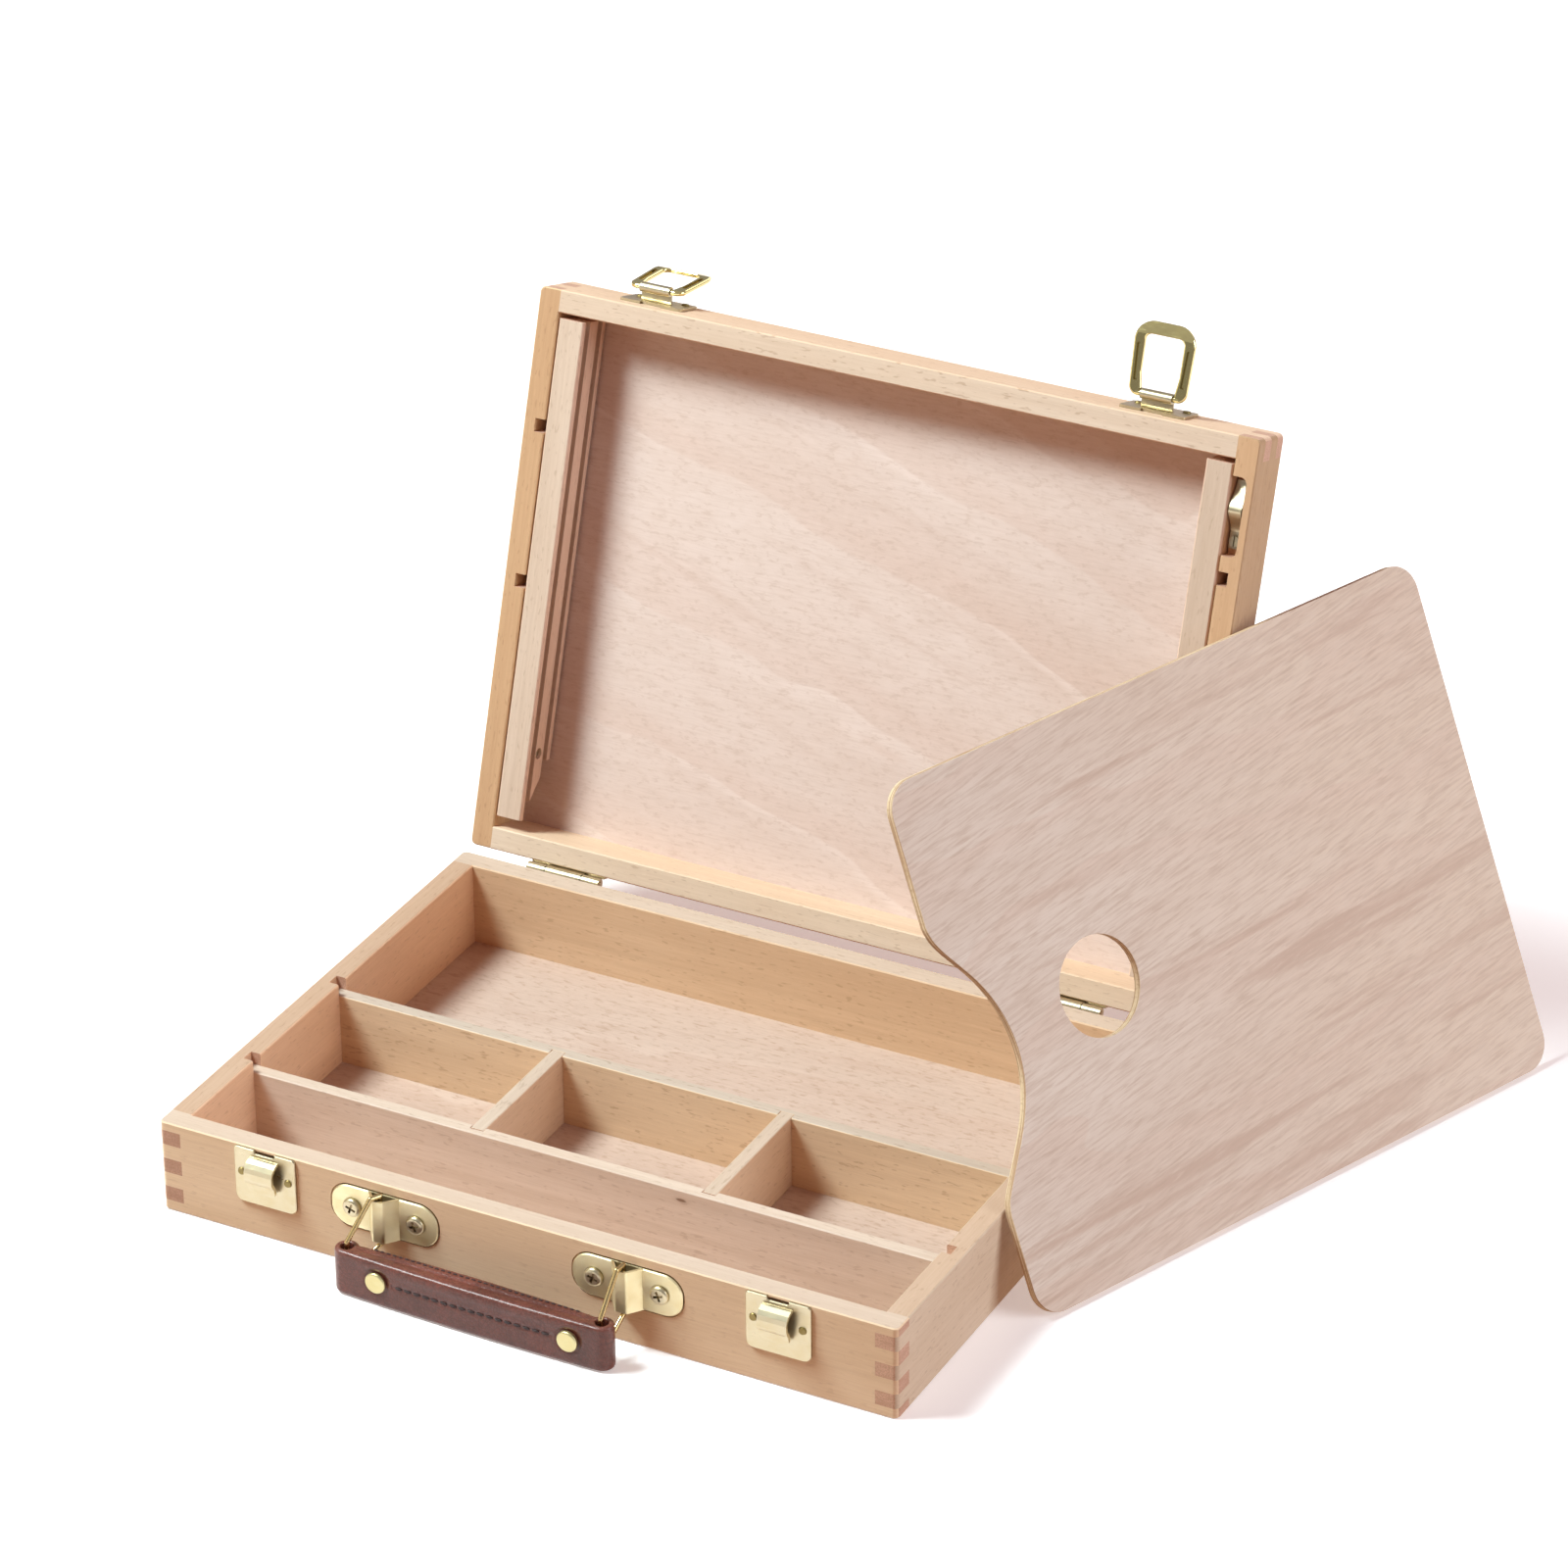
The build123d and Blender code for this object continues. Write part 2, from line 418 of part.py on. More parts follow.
for name, cx in LATCH_X.items():
    # plate on the lid, with the curl that carries the loop's axle
    with BuildPart() as latch_plate:
        with BuildSketch(LID_FRONT):
            with Locations((cx, (LATCH_Z0 + LATCH_Z1) / 2)):
                RectangleRounded(LATCH_W, LATCH_Z1 - LATCH_Z0, 1.2)
            with Locations((cx, LATCH_Z0 + 0.7)):
                Rectangle(10.0, 1.6, mode=Mode.SUBTRACT)
            with Locations(*[(cx + s * NAIL_DX, LATCH_NAIL_Z) for s in (-1, 1)]):
                Circle(0.8, mode=Mode.SUBTRACT)
        extrude(amount=PLATE_T)
        with BuildSketch(lid_side(cx)):
            with BuildLine():
                Polyline((F - 0.8, AXIS_Z + CURL_R + 0.6), (F - 2.0, AXIS_Z + CURL_R), (F - AXIS_OUT, AXIS_Z + CURL_R),
                         (F - AXIS_OUT, AXIS_Z + 1.0), (F - 2.4, AXIS_Z + 1.0), (F - 0.8, AXIS_Z + 1.6), close=True)
            make_face()
            with Locations((F - AXIS_OUT, AXIS_Z)):
                Circle(CURL_R)
                Circle(EYE_R, mode=Mode.SUBTRACT)
        extrude(amount=7.2, both=True)
    latch_plate.part.label = f"latch_plate_{name}"
    export_step(latch_plate.part, f"parts/latch_plate_{name}.step")

    with BuildPart() as latch_nails:
        with BuildSketch(LID_FRONT.offset(PLATE_T + 0.7)):
            with Locations(*[(cx + s * NAIL_DX, LATCH_NAIL_Z) for s in (-1, 1)]):
                Circle(0.8)
        extrude(amount=-8.5)
        with BuildSketch(LID_FRONT.offset(PLATE_T)):
            with Locations(*[(cx + s * NAIL_DX, LATCH_NAIL_Z) for s in (-1, 1)]):
                Circle(1.8)
        extrude(amount=0.7, taper=25)
    latch_nails.part.label = f"latch_nails_{name}"
    export_step(latch_nails.part, f"parts/latch_nails_{name}.step")

    # the loop, drawn along -Y of its own plane from the axle to the finger lip
    b = -radians(OPEN_DEG + LOOP_ANGLE[name])
    eye = lid_point(cx, F - AXIS_OUT, AXIS_Z)
    LOOP = Plane(origin=eye, x_dir=(1, 0, 0), z_dir=(0, -cos(b), -sin(b)))
    LOOP_SIDE = Plane(origin=eye, x_dir=(0, sin(b), -cos(b)), z_dir=(1, 0, 0))
    with BuildPart() as latch_loop:
        with BuildSketch(LOOP.offset(-LOOP_T / 2)):
            with BuildLine():
                Polyline((-13.1, 1.3), (-14.1, -LOOP_LEN), (14.1, -LOOP_LEN), (13.1, 1.3), close=True)
            make_face()
            fillet(vertices().group_by(Axis.Y)[0], 8.6)
            fillet(vertices().group_by(Axis.Y)[-1], 4.2)
        extrude(amount=LOOP_T)
        with BuildSketch(LOOP.offset(-LOOP_T / 2)):
            with BuildLine():
                Polyline((-7.6, 2.0), (-7.6, -2.0), (-8.7, -9.0), (-8.8, -LOOP_IN), (8.8, -LOOP_IN), (8.7, -9.0),
                         (7.6, -2.0), (7.6, 2.0), close=True)
            make_face()
            fillet(vertices().group_by(Axis.Y)[0], 2.8)
        extrude(amount=LOOP_T, mode=Mode.SUBTRACT)
        rims = latch_loop.faces().filter_by(Axis(LOOP.origin, LOOP.z_dir)).edges()
        fillet(rims.filter_by(lambda e: abs(LOOP.to_local_coords(e @ 0.5).Y - 1.3) > 0.05), 0.85)
        with BuildSketch(LOOP_SIDE):  # the finger end slopes away from the box
            with BuildLine():
                Polyline((LOOP_IN - 0.6, LOOP_T / 2 + 0.1), (LOOP_LEN + 1, LOOP_T / 2 - 1.9),
                         (LOOP_LEN + 1, LOOP_T / 2 + 0.1), close=True)
            make_face()
        extrude(amount=16.0, both=True, mode=Mode.SUBTRACT)
        for s in (-1, 1):  # the legs are channelled on the side that faces the box
            with BuildSketch(LOOP.offset(-LOOP_T / 2)):
                with BuildLine():
                    Polyline((s * 9.7, -5.0), (s * 11.6, -5.0), (s * 12.2, -20.6), (s * 10.6, -21.6), close=True)
                make_face()
                fillet(vertices(), 0.6)
            extrude(amount=1.3, mode=Mode.SUBTRACT)
        with BuildSketch(LOOP_SIDE):
            Circle(AXLE_R)
        extrude(amount=10.0, both=True)
    latch_loop.part.label = f"latch_loop_{name}"
    export_step(latch_loop.part, f"parts/latch_loop_{name}.step")

# ================================================================ handle
for name, cx in HANDLE_X.items():
    z0, z1 = HANDLE_Z - HPLATE_H / 2, HANDLE_Z + HPLATE_H / 2
    with BuildPart() as handle_plate:
        with BuildSketch(FRONT.offset(-HPLATE_RECESS)):
            with Locations((cx, HANDLE_Z)):
                RectangleRounded(HPLATE_W, HPLATE_H, 8.6)
            with Locations(*[(cx + s * HSCREW_DX, HANDLE_Z) for s in (-1, 1)]):
                Circle(1.85, mode=Mode.SUBTRACT)
        extrude(amount=HPLATE_T)
        chamfer(handle_plate.faces().sort_by(Axis.Y)[0].outer_wire().edges(), 0.5)
        with BuildSketch(Plane.XY.offset(z0)):
            with BuildLine():
                Polyline((cx - BRIDGE_FOOT, F - 0.3), (cx - BRIDGE_TOP, F - BRIDGE_OUT), (cx + BRIDGE_TOP, F - BRIDGE_OUT),
                         (cx + BRIDGE_FOOT, F - 0.3), close=True)
            make_face()
            fillet(vertices().group_by(Axis.Y)[0], 1.6)
        extrude(amount=HPLATE_H)
        with BuildSketch(Plane.XY.offset(z0 - 1)):
            with BuildLine():
                Polyline((cx - BRIDGE_FOOT + 1.6, F + HPLATE_RECESS - HPLATE_T), (cx - BRIDGE_TOP + 0.7, F - 5.2),
                         (cx + BRIDGE_TOP - 0.7, F - 5.2), (cx + BRIDGE_FOOT - 1.6, F + HPLATE_RECESS - HPLATE_T), close=True)
            make_face()
        extrude(amount=HPLATE_H + 2, mode=Mode.SUBTRACT)
    handle_plate.part.label = f"handle_plate_{name}"
    export_step(handle_plate.part, f"parts/handle_plate_{name}.step")

    for tag, s in (("a", -1), ("b", 1)):
        with BuildPart() as handle_screw:
            with BuildSketch(FRONT.offset(HPLATE_T - HPLATE_RECESS)):
                with Locations((cx + s * HSCREW_DX, HANDLE_Z)):
                    Circle(4.2)
            extrude(amount=2.0)
            fillet(handle_screw.faces().sort_by(Axis.Y)[0].edges(), 1.5)
            with BuildSketch(FRONT.offset(HPLATE_T - HPLATE_RECESS)):
                with Locations((cx + s * HSCREW_DX, HANDLE_Z)):
                    Circle(1.75)
            extrude(amount=-HPLATE_T - 7.4)
            with BuildSketch(FRONT.offset(HPLATE_T - HPLATE_RECESS + 2.0)):
                with Locations((cx + s * HSCREW_DX, HANDLE_Z)):
                    Rectangle(4.6, 1.05, rotation=20 * s)
                    Rectangle(1.05, 4.6, rotation=20 * s)
            extrude(amount=-1.4, mode=Mode.SUBTRACT)
        handle_screw.part.label = f"handle_screw_{name}_{tag}"
        export_step(handle_screw.part, f"parts/handle_screw_{name}_{tag}.step")

    # wire ring: inner bar up through the bridge, outer bar in the grip's eye
    dx, out = GRIP_AT[name]
    reach = hypot(dx, out - BAR_OUT)
    ex, ey = dx / reach, -(out - BAR_OUT) / reach
    bx, by = cx, F - BAR_OUT
    knots = [(bx, by, RING_Z[0]), (bx, by, RING_Z[1]), (bx + RING_TURN * ex, by + RING_TURN * ey, RING_Z[1]),
             (bx + dx, F - out, RING_Z[2]), (bx + dx, F - out, RING_Z[3])]
    with BuildPart() as handle_ring:
        for p, q in zip(knots, knots[1:] + knots[:1]):
            run = Vector(*q) - Vector(*p)
            with BuildSketch(Plane(origin=p, z_dir=run)):
                Circle(RING_R)
            extrude(amount=run.length)
        with Locations(*knots):
            Sphere(RING_R)
    handle_ring.part.label = f"handle_ring_{name}"
    export_step(handle_ring.part, f"parts/handle_ring_{name}.step")

# leather grip: a strap rolled round the two outer bars and padded between them
EYES = [(HANDLE_X[n] + GRIP_AT[n][0], F - GRIP_AT[n][1]) for n in ("left", "right")]
BARS_APART = hypot(EYES[1][0] - EYES[0][0], EYES[1][1] - EYES[0][1])
GRIP_DIR = ((EYES[1][0] - EYES[0][0]) / BARS_APART, (EYES[1][1] - EYES[0][1]) / BARS_APART)
SPAN = BARS_APART + EYE_SHIFT
GRIP = Plane(origin=(EYES[0][0], EYES[0][1], 0), x_dir=(GRIP_DIR[0], GRIP_DIR[1], 0), z_dir=(0, 0, 1))
RIVET_X = (16.9, SPAN - 12.6)
RIVET_Z = 11.6


def grip_face(y):
    """A sketch plane along the grip that looks out from the box, y behind the line of the eyes."""
    return Plane(origin=GRIP.from_local_coords((0, y, 0)), x_dir=GRIP.x_dir, z_dir=-GRIP.y_dir)


with BuildPart(GRIP) as grip_leather:
    with BuildSketch(GRIP.offset(GRIP_Z0)):
        with BuildLine():
            Spline((0, -5.2), (30, -6.0), (SPAN / 2, -6.3), (SPAN - 30, -6.0), (SPAN, -5.2))
            Line((SPAN, -5.2), (SPAN, 2.4))
            Spline((SPAN, 2.4), (SPAN - 14, 4.3), (SPAN - 34, 5.4), (SPAN / 2, 5.9), (34, 5.4), (14, 4.3), (0, 2.4))
            Line((0, 2.4), (0, -5.2))
        make_face()
        with Locations((0, 0), (SPAN, 0)):
            Circle(EYE_OUT)
    extrude(amount=GRIP_Z1 - GRIP_Z0)
    fillet(grip_leather.faces().sort_by(Axis.Z)[-1].edges() + grip_leather.faces().sort_by(Axis.Z)[0].edges(), 1.3)
    with Locations((0, 0, 10), (SPAN, 0, 10)):
        Cylinder(EYE_IN, 40, mode=Mode.SUBTRACT)
    with Locations((0.6, 3.1, 9.0), (SPAN - 1.5, 3.1, 9.0)):
        Box(9.4, 8.2, 9.4, mode=Mode.SUBTRACT)
    with BuildSketch(grip_face(12)):
        with Locations(*[(x, RIVET_Z) for x in RIVET_X]):
            Circle(1.6)
    extrude(amount=40, mode=Mode.SUBTRACT)
grip_leather.part.label = "grip_leather"
export_step(grip_leather.part, "parts/grip_leather.step")

for name, x in (("left", RIVET_X[0]), ("right", RIVET_X[1])):
    with BuildPart() as grip_rivet:
        with BuildSketch(grip_face(-5.4)):
            with Locations((x, RIVET_Z)):
                Circle(4.7)
        extrude(amount=1.9)
        fillet(grip_rivet.faces().sort_by(Axis.Y)[0].edges(), 0.9)
        with BuildSketch(grip_face(-5.4)):
            with Locations((x, RIVET_Z)):
                Circle(1.6)
        extrude(amount=-10.4)
        with BuildSketch(grip_face(5.8)):
            with Locations((x, RIVET_Z)):
                Circle(3.0)
        extrude(amount=4.0)
    with BuildPart() as rivet_only:
        add(grip_rivet.part)
        add(grip_leather.part, mode=Mode.SUBTRACT)
    rivet_only.part.label = f"grip_rivet_{name}"
    export_step(rivet_only.part, f"parts/grip_rivet_{name}.step")

# ================================================================ canvas rails
for name, sx in (("left", -1), ("right", 1)):
    x_out, x_in = sx * RAIL_X0, sx * (RAIL_X0 - RAIL_W)
    with BuildPart(LID) as canvas_rail:
        with BuildSketch(lid_side(min(x_out, x_in))):
            with BuildLine():
                Polyline((RAIL_Y[0], RAIL_Z[0]), (RAIL_Y[1], RAIL_Z[0]), (RAIL_Y[1], 46.1), (106.35, 47.0),
                         (88.35, 60.2), (85.2, 61.0), (85.2, RAIL_Z[1]), (RAIL_Y[0], RAIL_Z[1]), close=True)
            make_face()
        extrude(amount=RAIL_W)
        chamfer(canvas_rail.faces().sort_by(Axis(LID.origin, LID.z_dir))[0].edges().filter_by(
            Axis(LID.origin, LID.y_dir)), 0.7)
        with Locations((x_in, 0, 48.05), (x_in, 0, 59.25)):
            Box(12.4, 2 * HD, 3.9, mode=Mode.SUBTRACT)
        with Locations((x_in + sx * RAIL_W / 2, PIVOT_Y, PIVOT_Z)):
            Cylinder(PIVOT_BORE, RAIL_W + 2, rotation=(0, 90, 0), mode=Mode.SUBTRACT)
        with Locations((x_in, PIVOT_Y, PIVOT_Z)):
            Cylinder(2.5, 7.0, rotation=(0, 90, 0), mode=Mode.SUBTRACT)
    canvas_rail.part.label = f"canvas_rail_{name}"
    export_step(canvas_rail.part, f"parts/canvas_rail_{name}.step")

    with BuildPart(LID) as rail_screw:
        with Locations((sx * (IN_X + 5.8 - 8.2), PIVOT_Y, PIVOT_Z)):
            Cylinder(PIVOT_R, 16.4, rotation=(0, 90, 0))
        with Locations((x_in + sx * 2.2, PIVOT_Y, PIVOT_Z)):
            Cylinder(2.2, 1.6, rotation=(0, 90, 0))
        with Locations((x_in + sx * 1.5, PIVOT_Y, PIVOT_Z)):
            Box(1.0, 4.6, 0.7, mode=Mode.SUBTRACT)
    rail_screw.part.label = f"rail_screw_{name}"
    export_step(rail_screw.part, f"parts/rail_screw_{name}.step")

# leaf spring in the right wall's pocket, and the screw that holds it
with BuildPart(LID) as leaf_spring:
    with BuildSketch(lid_side(IN_X + 0.15)):
        with BuildLine():
            Line((-77.2, 49.8), (-84.5, 49.8))
            Spline((-84.5, 49.8), (-89.6, 46.6), (-94.0, 43.9), (-98.6, 45.8), (-106.4, 49.4))
            Line((-106.4, 49.4), (-106.4, 50.3))
            Spline((-106.4, 50.3), (-98.3, 46.7), (-94.0, 44.8), (-90.0, 47.5), (-84.5, 50.6))
            Line((-84.5, 50.6), (-77.2, 50.6))
            Line((-77.2, 50.6), (-77.2, 49.8))
        make_face()
    extrude(amount=5.6)
    with Locations((IN_X + 2.9, SPRING_Y, 50.2)):
        Cylinder(1.0, 4.0, mode=Mode.SUBTRACT)
leaf_spring.part.label = "leaf_spring"
export_step(leaf_spring.part, "parts/leaf_spring.step")

with BuildPart(LID) as leaf_spring_screw:
    with Locations((IN_X + 2.9, SPRING_Y, 49.1)):
        Cylinder(2.3, 1.4)
    with Locations((IN_X + 2.9, SPRING_Y, 52.8)):
        Cylinder(1.0, 7.0)
    with Locations((IN_X + 2.9, SPRING_Y, 48.6)):
        Box(0.6, 4.8, 0.8, mode=Mode.SUBTRACT)
leaf_spring_screw.part.label = "leaf_spring_screw"
export_step(leaf_spring_screw.part, "parts/leaf_spring_screw.step")

# ================================================================ palette
ph, pl = radians(PAL_HEADING), radians(PAL_LEAN)
along = (cos(ph), sin(ph), 0)
outward = (sin(ph) * cos(pl), -cos(ph) * cos(pl), sin(pl))
PALETTE = Plane(origin=PAL_ORIGIN, x_dir=along, z_dir=outward)
with BuildPart() as palette:
    with BuildSketch(PALETTE):
        with BuildLine():
            Spline((-3.0, 168), (3.4, 154), (14.3, 139), (22.6, 119), (23.4, 97), (17.4, 80), (8.8, 66.5),
                   (-0.6, 53), (-3.0, 45), tangents=((0.12, -1), (-0.1, -1)))
            Polyline((-3.0, 45), (-3.0, 0), (PAL_L - 3, 0), (PAL_L - 3, PAL_H), (-3.0, PAL_H), (-3.0, 168))
        make_face()
        fillet(vertices().filter_by(lambda v: min(abs(PALETTE.to_local_coords(v).Y - PAL_H), abs(PALETTE.to_local_coords(v).Y)) < 1), 13.0)
        with Locations((72.8, 116.0)):
            Circle(21.2, mode=Mode.SUBTRACT)
    extrude(amount=-PAL_T)
palette.part.label = "palette"
export_step(palette.part, "parts/palette.step")
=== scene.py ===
"""Looks, light and camera for the pochade box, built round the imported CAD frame. Metres, row frame."""

import math

import bmesh
import bpy
from mathutils import Matrix, Vector
from mathutils.bvhtree import BVHTree


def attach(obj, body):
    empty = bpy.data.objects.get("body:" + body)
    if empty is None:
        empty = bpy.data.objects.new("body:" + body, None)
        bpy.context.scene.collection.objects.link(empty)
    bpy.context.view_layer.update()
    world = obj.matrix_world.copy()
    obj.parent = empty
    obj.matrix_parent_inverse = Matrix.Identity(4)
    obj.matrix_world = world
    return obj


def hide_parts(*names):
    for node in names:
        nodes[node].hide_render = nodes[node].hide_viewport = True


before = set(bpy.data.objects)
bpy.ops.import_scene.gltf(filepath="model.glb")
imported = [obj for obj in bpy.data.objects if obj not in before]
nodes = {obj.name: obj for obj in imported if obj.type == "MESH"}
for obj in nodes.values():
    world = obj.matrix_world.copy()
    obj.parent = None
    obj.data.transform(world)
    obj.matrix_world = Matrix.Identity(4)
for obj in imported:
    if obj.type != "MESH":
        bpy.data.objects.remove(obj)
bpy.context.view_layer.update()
MM = 0.001

# ------------------------------------------------------------------ frame facts, as in the CAD
OPEN = math.radians(107.59)
HINGE = Vector((0, 128.55, 41.0))
HD = 125.65
LID_ROT = (OPEN, 0.0, 0.0)  # turns the open lid's directions back to the shut lid's
PH, PL = math.radians(68.82), math.radians(24.87)
P_ALONG = Vector((math.cos(PH), math.sin(PH), 0))
P_OUT = Vector((math.sin(PH) * math.cos(PL), -math.cos(PH) * math.cos(PL), math.sin(PL)))
P_UP = P_OUT.cross(P_ALONG)
PAL_ROT = tuple(Matrix((P_ALONG, P_UP, P_OUT)).to_euler("XYZ"))


def lid_point(x, y, z):
    dy, dz = y - HINGE.y, z - HINGE.z
    return Vector((x, HINGE.y + dy * math.cos(OPEN) + dz * math.sin(OPEN),
                   HINGE.z - dy * math.sin(OPEN) + dz * math.cos(OPEN)))


# ------------------------------------------------------------------ materials
def srgb(r, g, b):
    return tuple(((c / 255) / 12.92 if c / 255 <= 0.04045 else (((c / 255) + 0.055) / 1.055) ** 2.4)
                 for c in (r, g, b)) + (1.0,)


class Net:
    """A small helper for writing node trees."""

    def __init__(self, name):
        self.mat = bpy.data.materials.new(name)
        self.mat.use_nodes = True
        self.t = self.mat.node_tree
        self.t.nodes.clear()
        self.out = self.t.nodes.new("ShaderNodeOutputMaterial")
        self.bsdf = self.t.nodes.new("ShaderNodeBsdfPrincipled")
        self.link(self.bsdf.outputs[0], self.out.inputs[0])

    def link(self, a, b):
        self.t.links.new(a, b)

    def node(self, kind, **sets):
        n = self.t.nodes.new(kind)
        for k, v in sets.items():
            setattr(n, k, v)
        return n

    def put(self, socket, value):
        if isinstance(value, bpy.types.NodeSocket):
            self.link(value, socket)
        else:
            socket.default_value = value

    def coords(self, rot, vector_type="POINT", source="Object", offset=(0, 0, 0)):
        tc = self.node("ShaderNodeTexCoord")
        mp = self.node("ShaderNodeMapping", vector_type=vector_type)
        self.link(tc.outputs[source], mp.inputs["Vector"])
        mp.inputs["Rotation"].default_value = rot
        if vector_type == "POINT":
            mp.inputs["Location"].default_value = offset
        return mp.outputs[0]

    def stretch(self, vec, scale, offset=(0, 0, 0)):
        mp = self.node("ShaderNodeMapping", vector_type="POINT")
        self.link(vec, mp.inputs["Vector"])
        mp.inputs["Scale"].default_value = scale
        mp.inputs["Location"].default_value = offset
        return mp.outputs[0]

    def noise(self, vec, scale=1.0, detail=2.0, rough=0.5, distortion=0.0):
        n = self.node("ShaderNodeTexNoise")
        self.link(vec, n.inputs["Vector"])
        n.inputs["Scale"].default_value = scale
        n.inputs["Detail"].default_value = detail
        n.inputs["Roughness"].default_value = rough
        n.inputs["Distortion"].default_value = distortion
        return n.outputs["Fac"]

    def math(self, op, a, b=0.0, c=0.0, clamp=False):
        n = self.node("ShaderNodeMath", operation=op, use_clamp=clamp)
        self.put(n.inputs[0], a)
        self.put(n.inputs[1], b)
        self.put(n.inputs[2], c)
        return n.outputs[0]

    def fit(self, value, lo, hi, a=0.0, b=1.0, smooth=False):
        n = self.node("ShaderNodeMapRange", interpolation_type="SMOOTHSTEP" if smooth else "LINEAR")
        self.put(n.inputs[0], value)
        for i, v in ((1, lo), (2, hi), (3, a), (4, b)):
            n.inputs[i].default_value = v
        return n.outputs[0]

    def mix(self, fac, a, b, blend="MIX"):
        n = self.node("ShaderNodeMix", data_type="RGBA", blend_type=blend)
        self.put(n.inputs[0], fac)
        self.put(n.inputs[6], a)
        self.put(n.inputs[7], b)
        return n.outputs[2]

    def bump(self, height, strength, distance):
        n = self.node("ShaderNodeBump")
        n.inputs["Strength"].default_value = strength
        n.inputs["Distance"].default_value = distance
        self.link(height, n.inputs["Height"])
        self.link(n.outputs[0], self.bsdf.inputs["Normal"])

    def split(self, vec):
        n = self.node("ShaderNodeSeparateXYZ")
        self.link(vec, n.inputs[0])
        return n.outputs


def along(axis, big, small):
    """Scale vector that stretches a texture along one axis."""
    return tuple(small if i == axis else big for i in range(3))


def tint(colour, r, g=None, b=None):
    """A colour given in sRGB bytes, multiplied channel by channel in linear light."""
    base = srgb(*colour)
    g = r if g is None else g
    b = g if b is None else b
    return (min(base[0] * r, 1.0), min(base[1] * g, 1.0), min(base[2] * b, 1.0), 1.0)


def ratio(top, bottom):
    a, b = srgb(*top), srgb(*bottom)
    return (a[0] / b[0], a[1] / b[1], a[2] / b[2], 1.0)


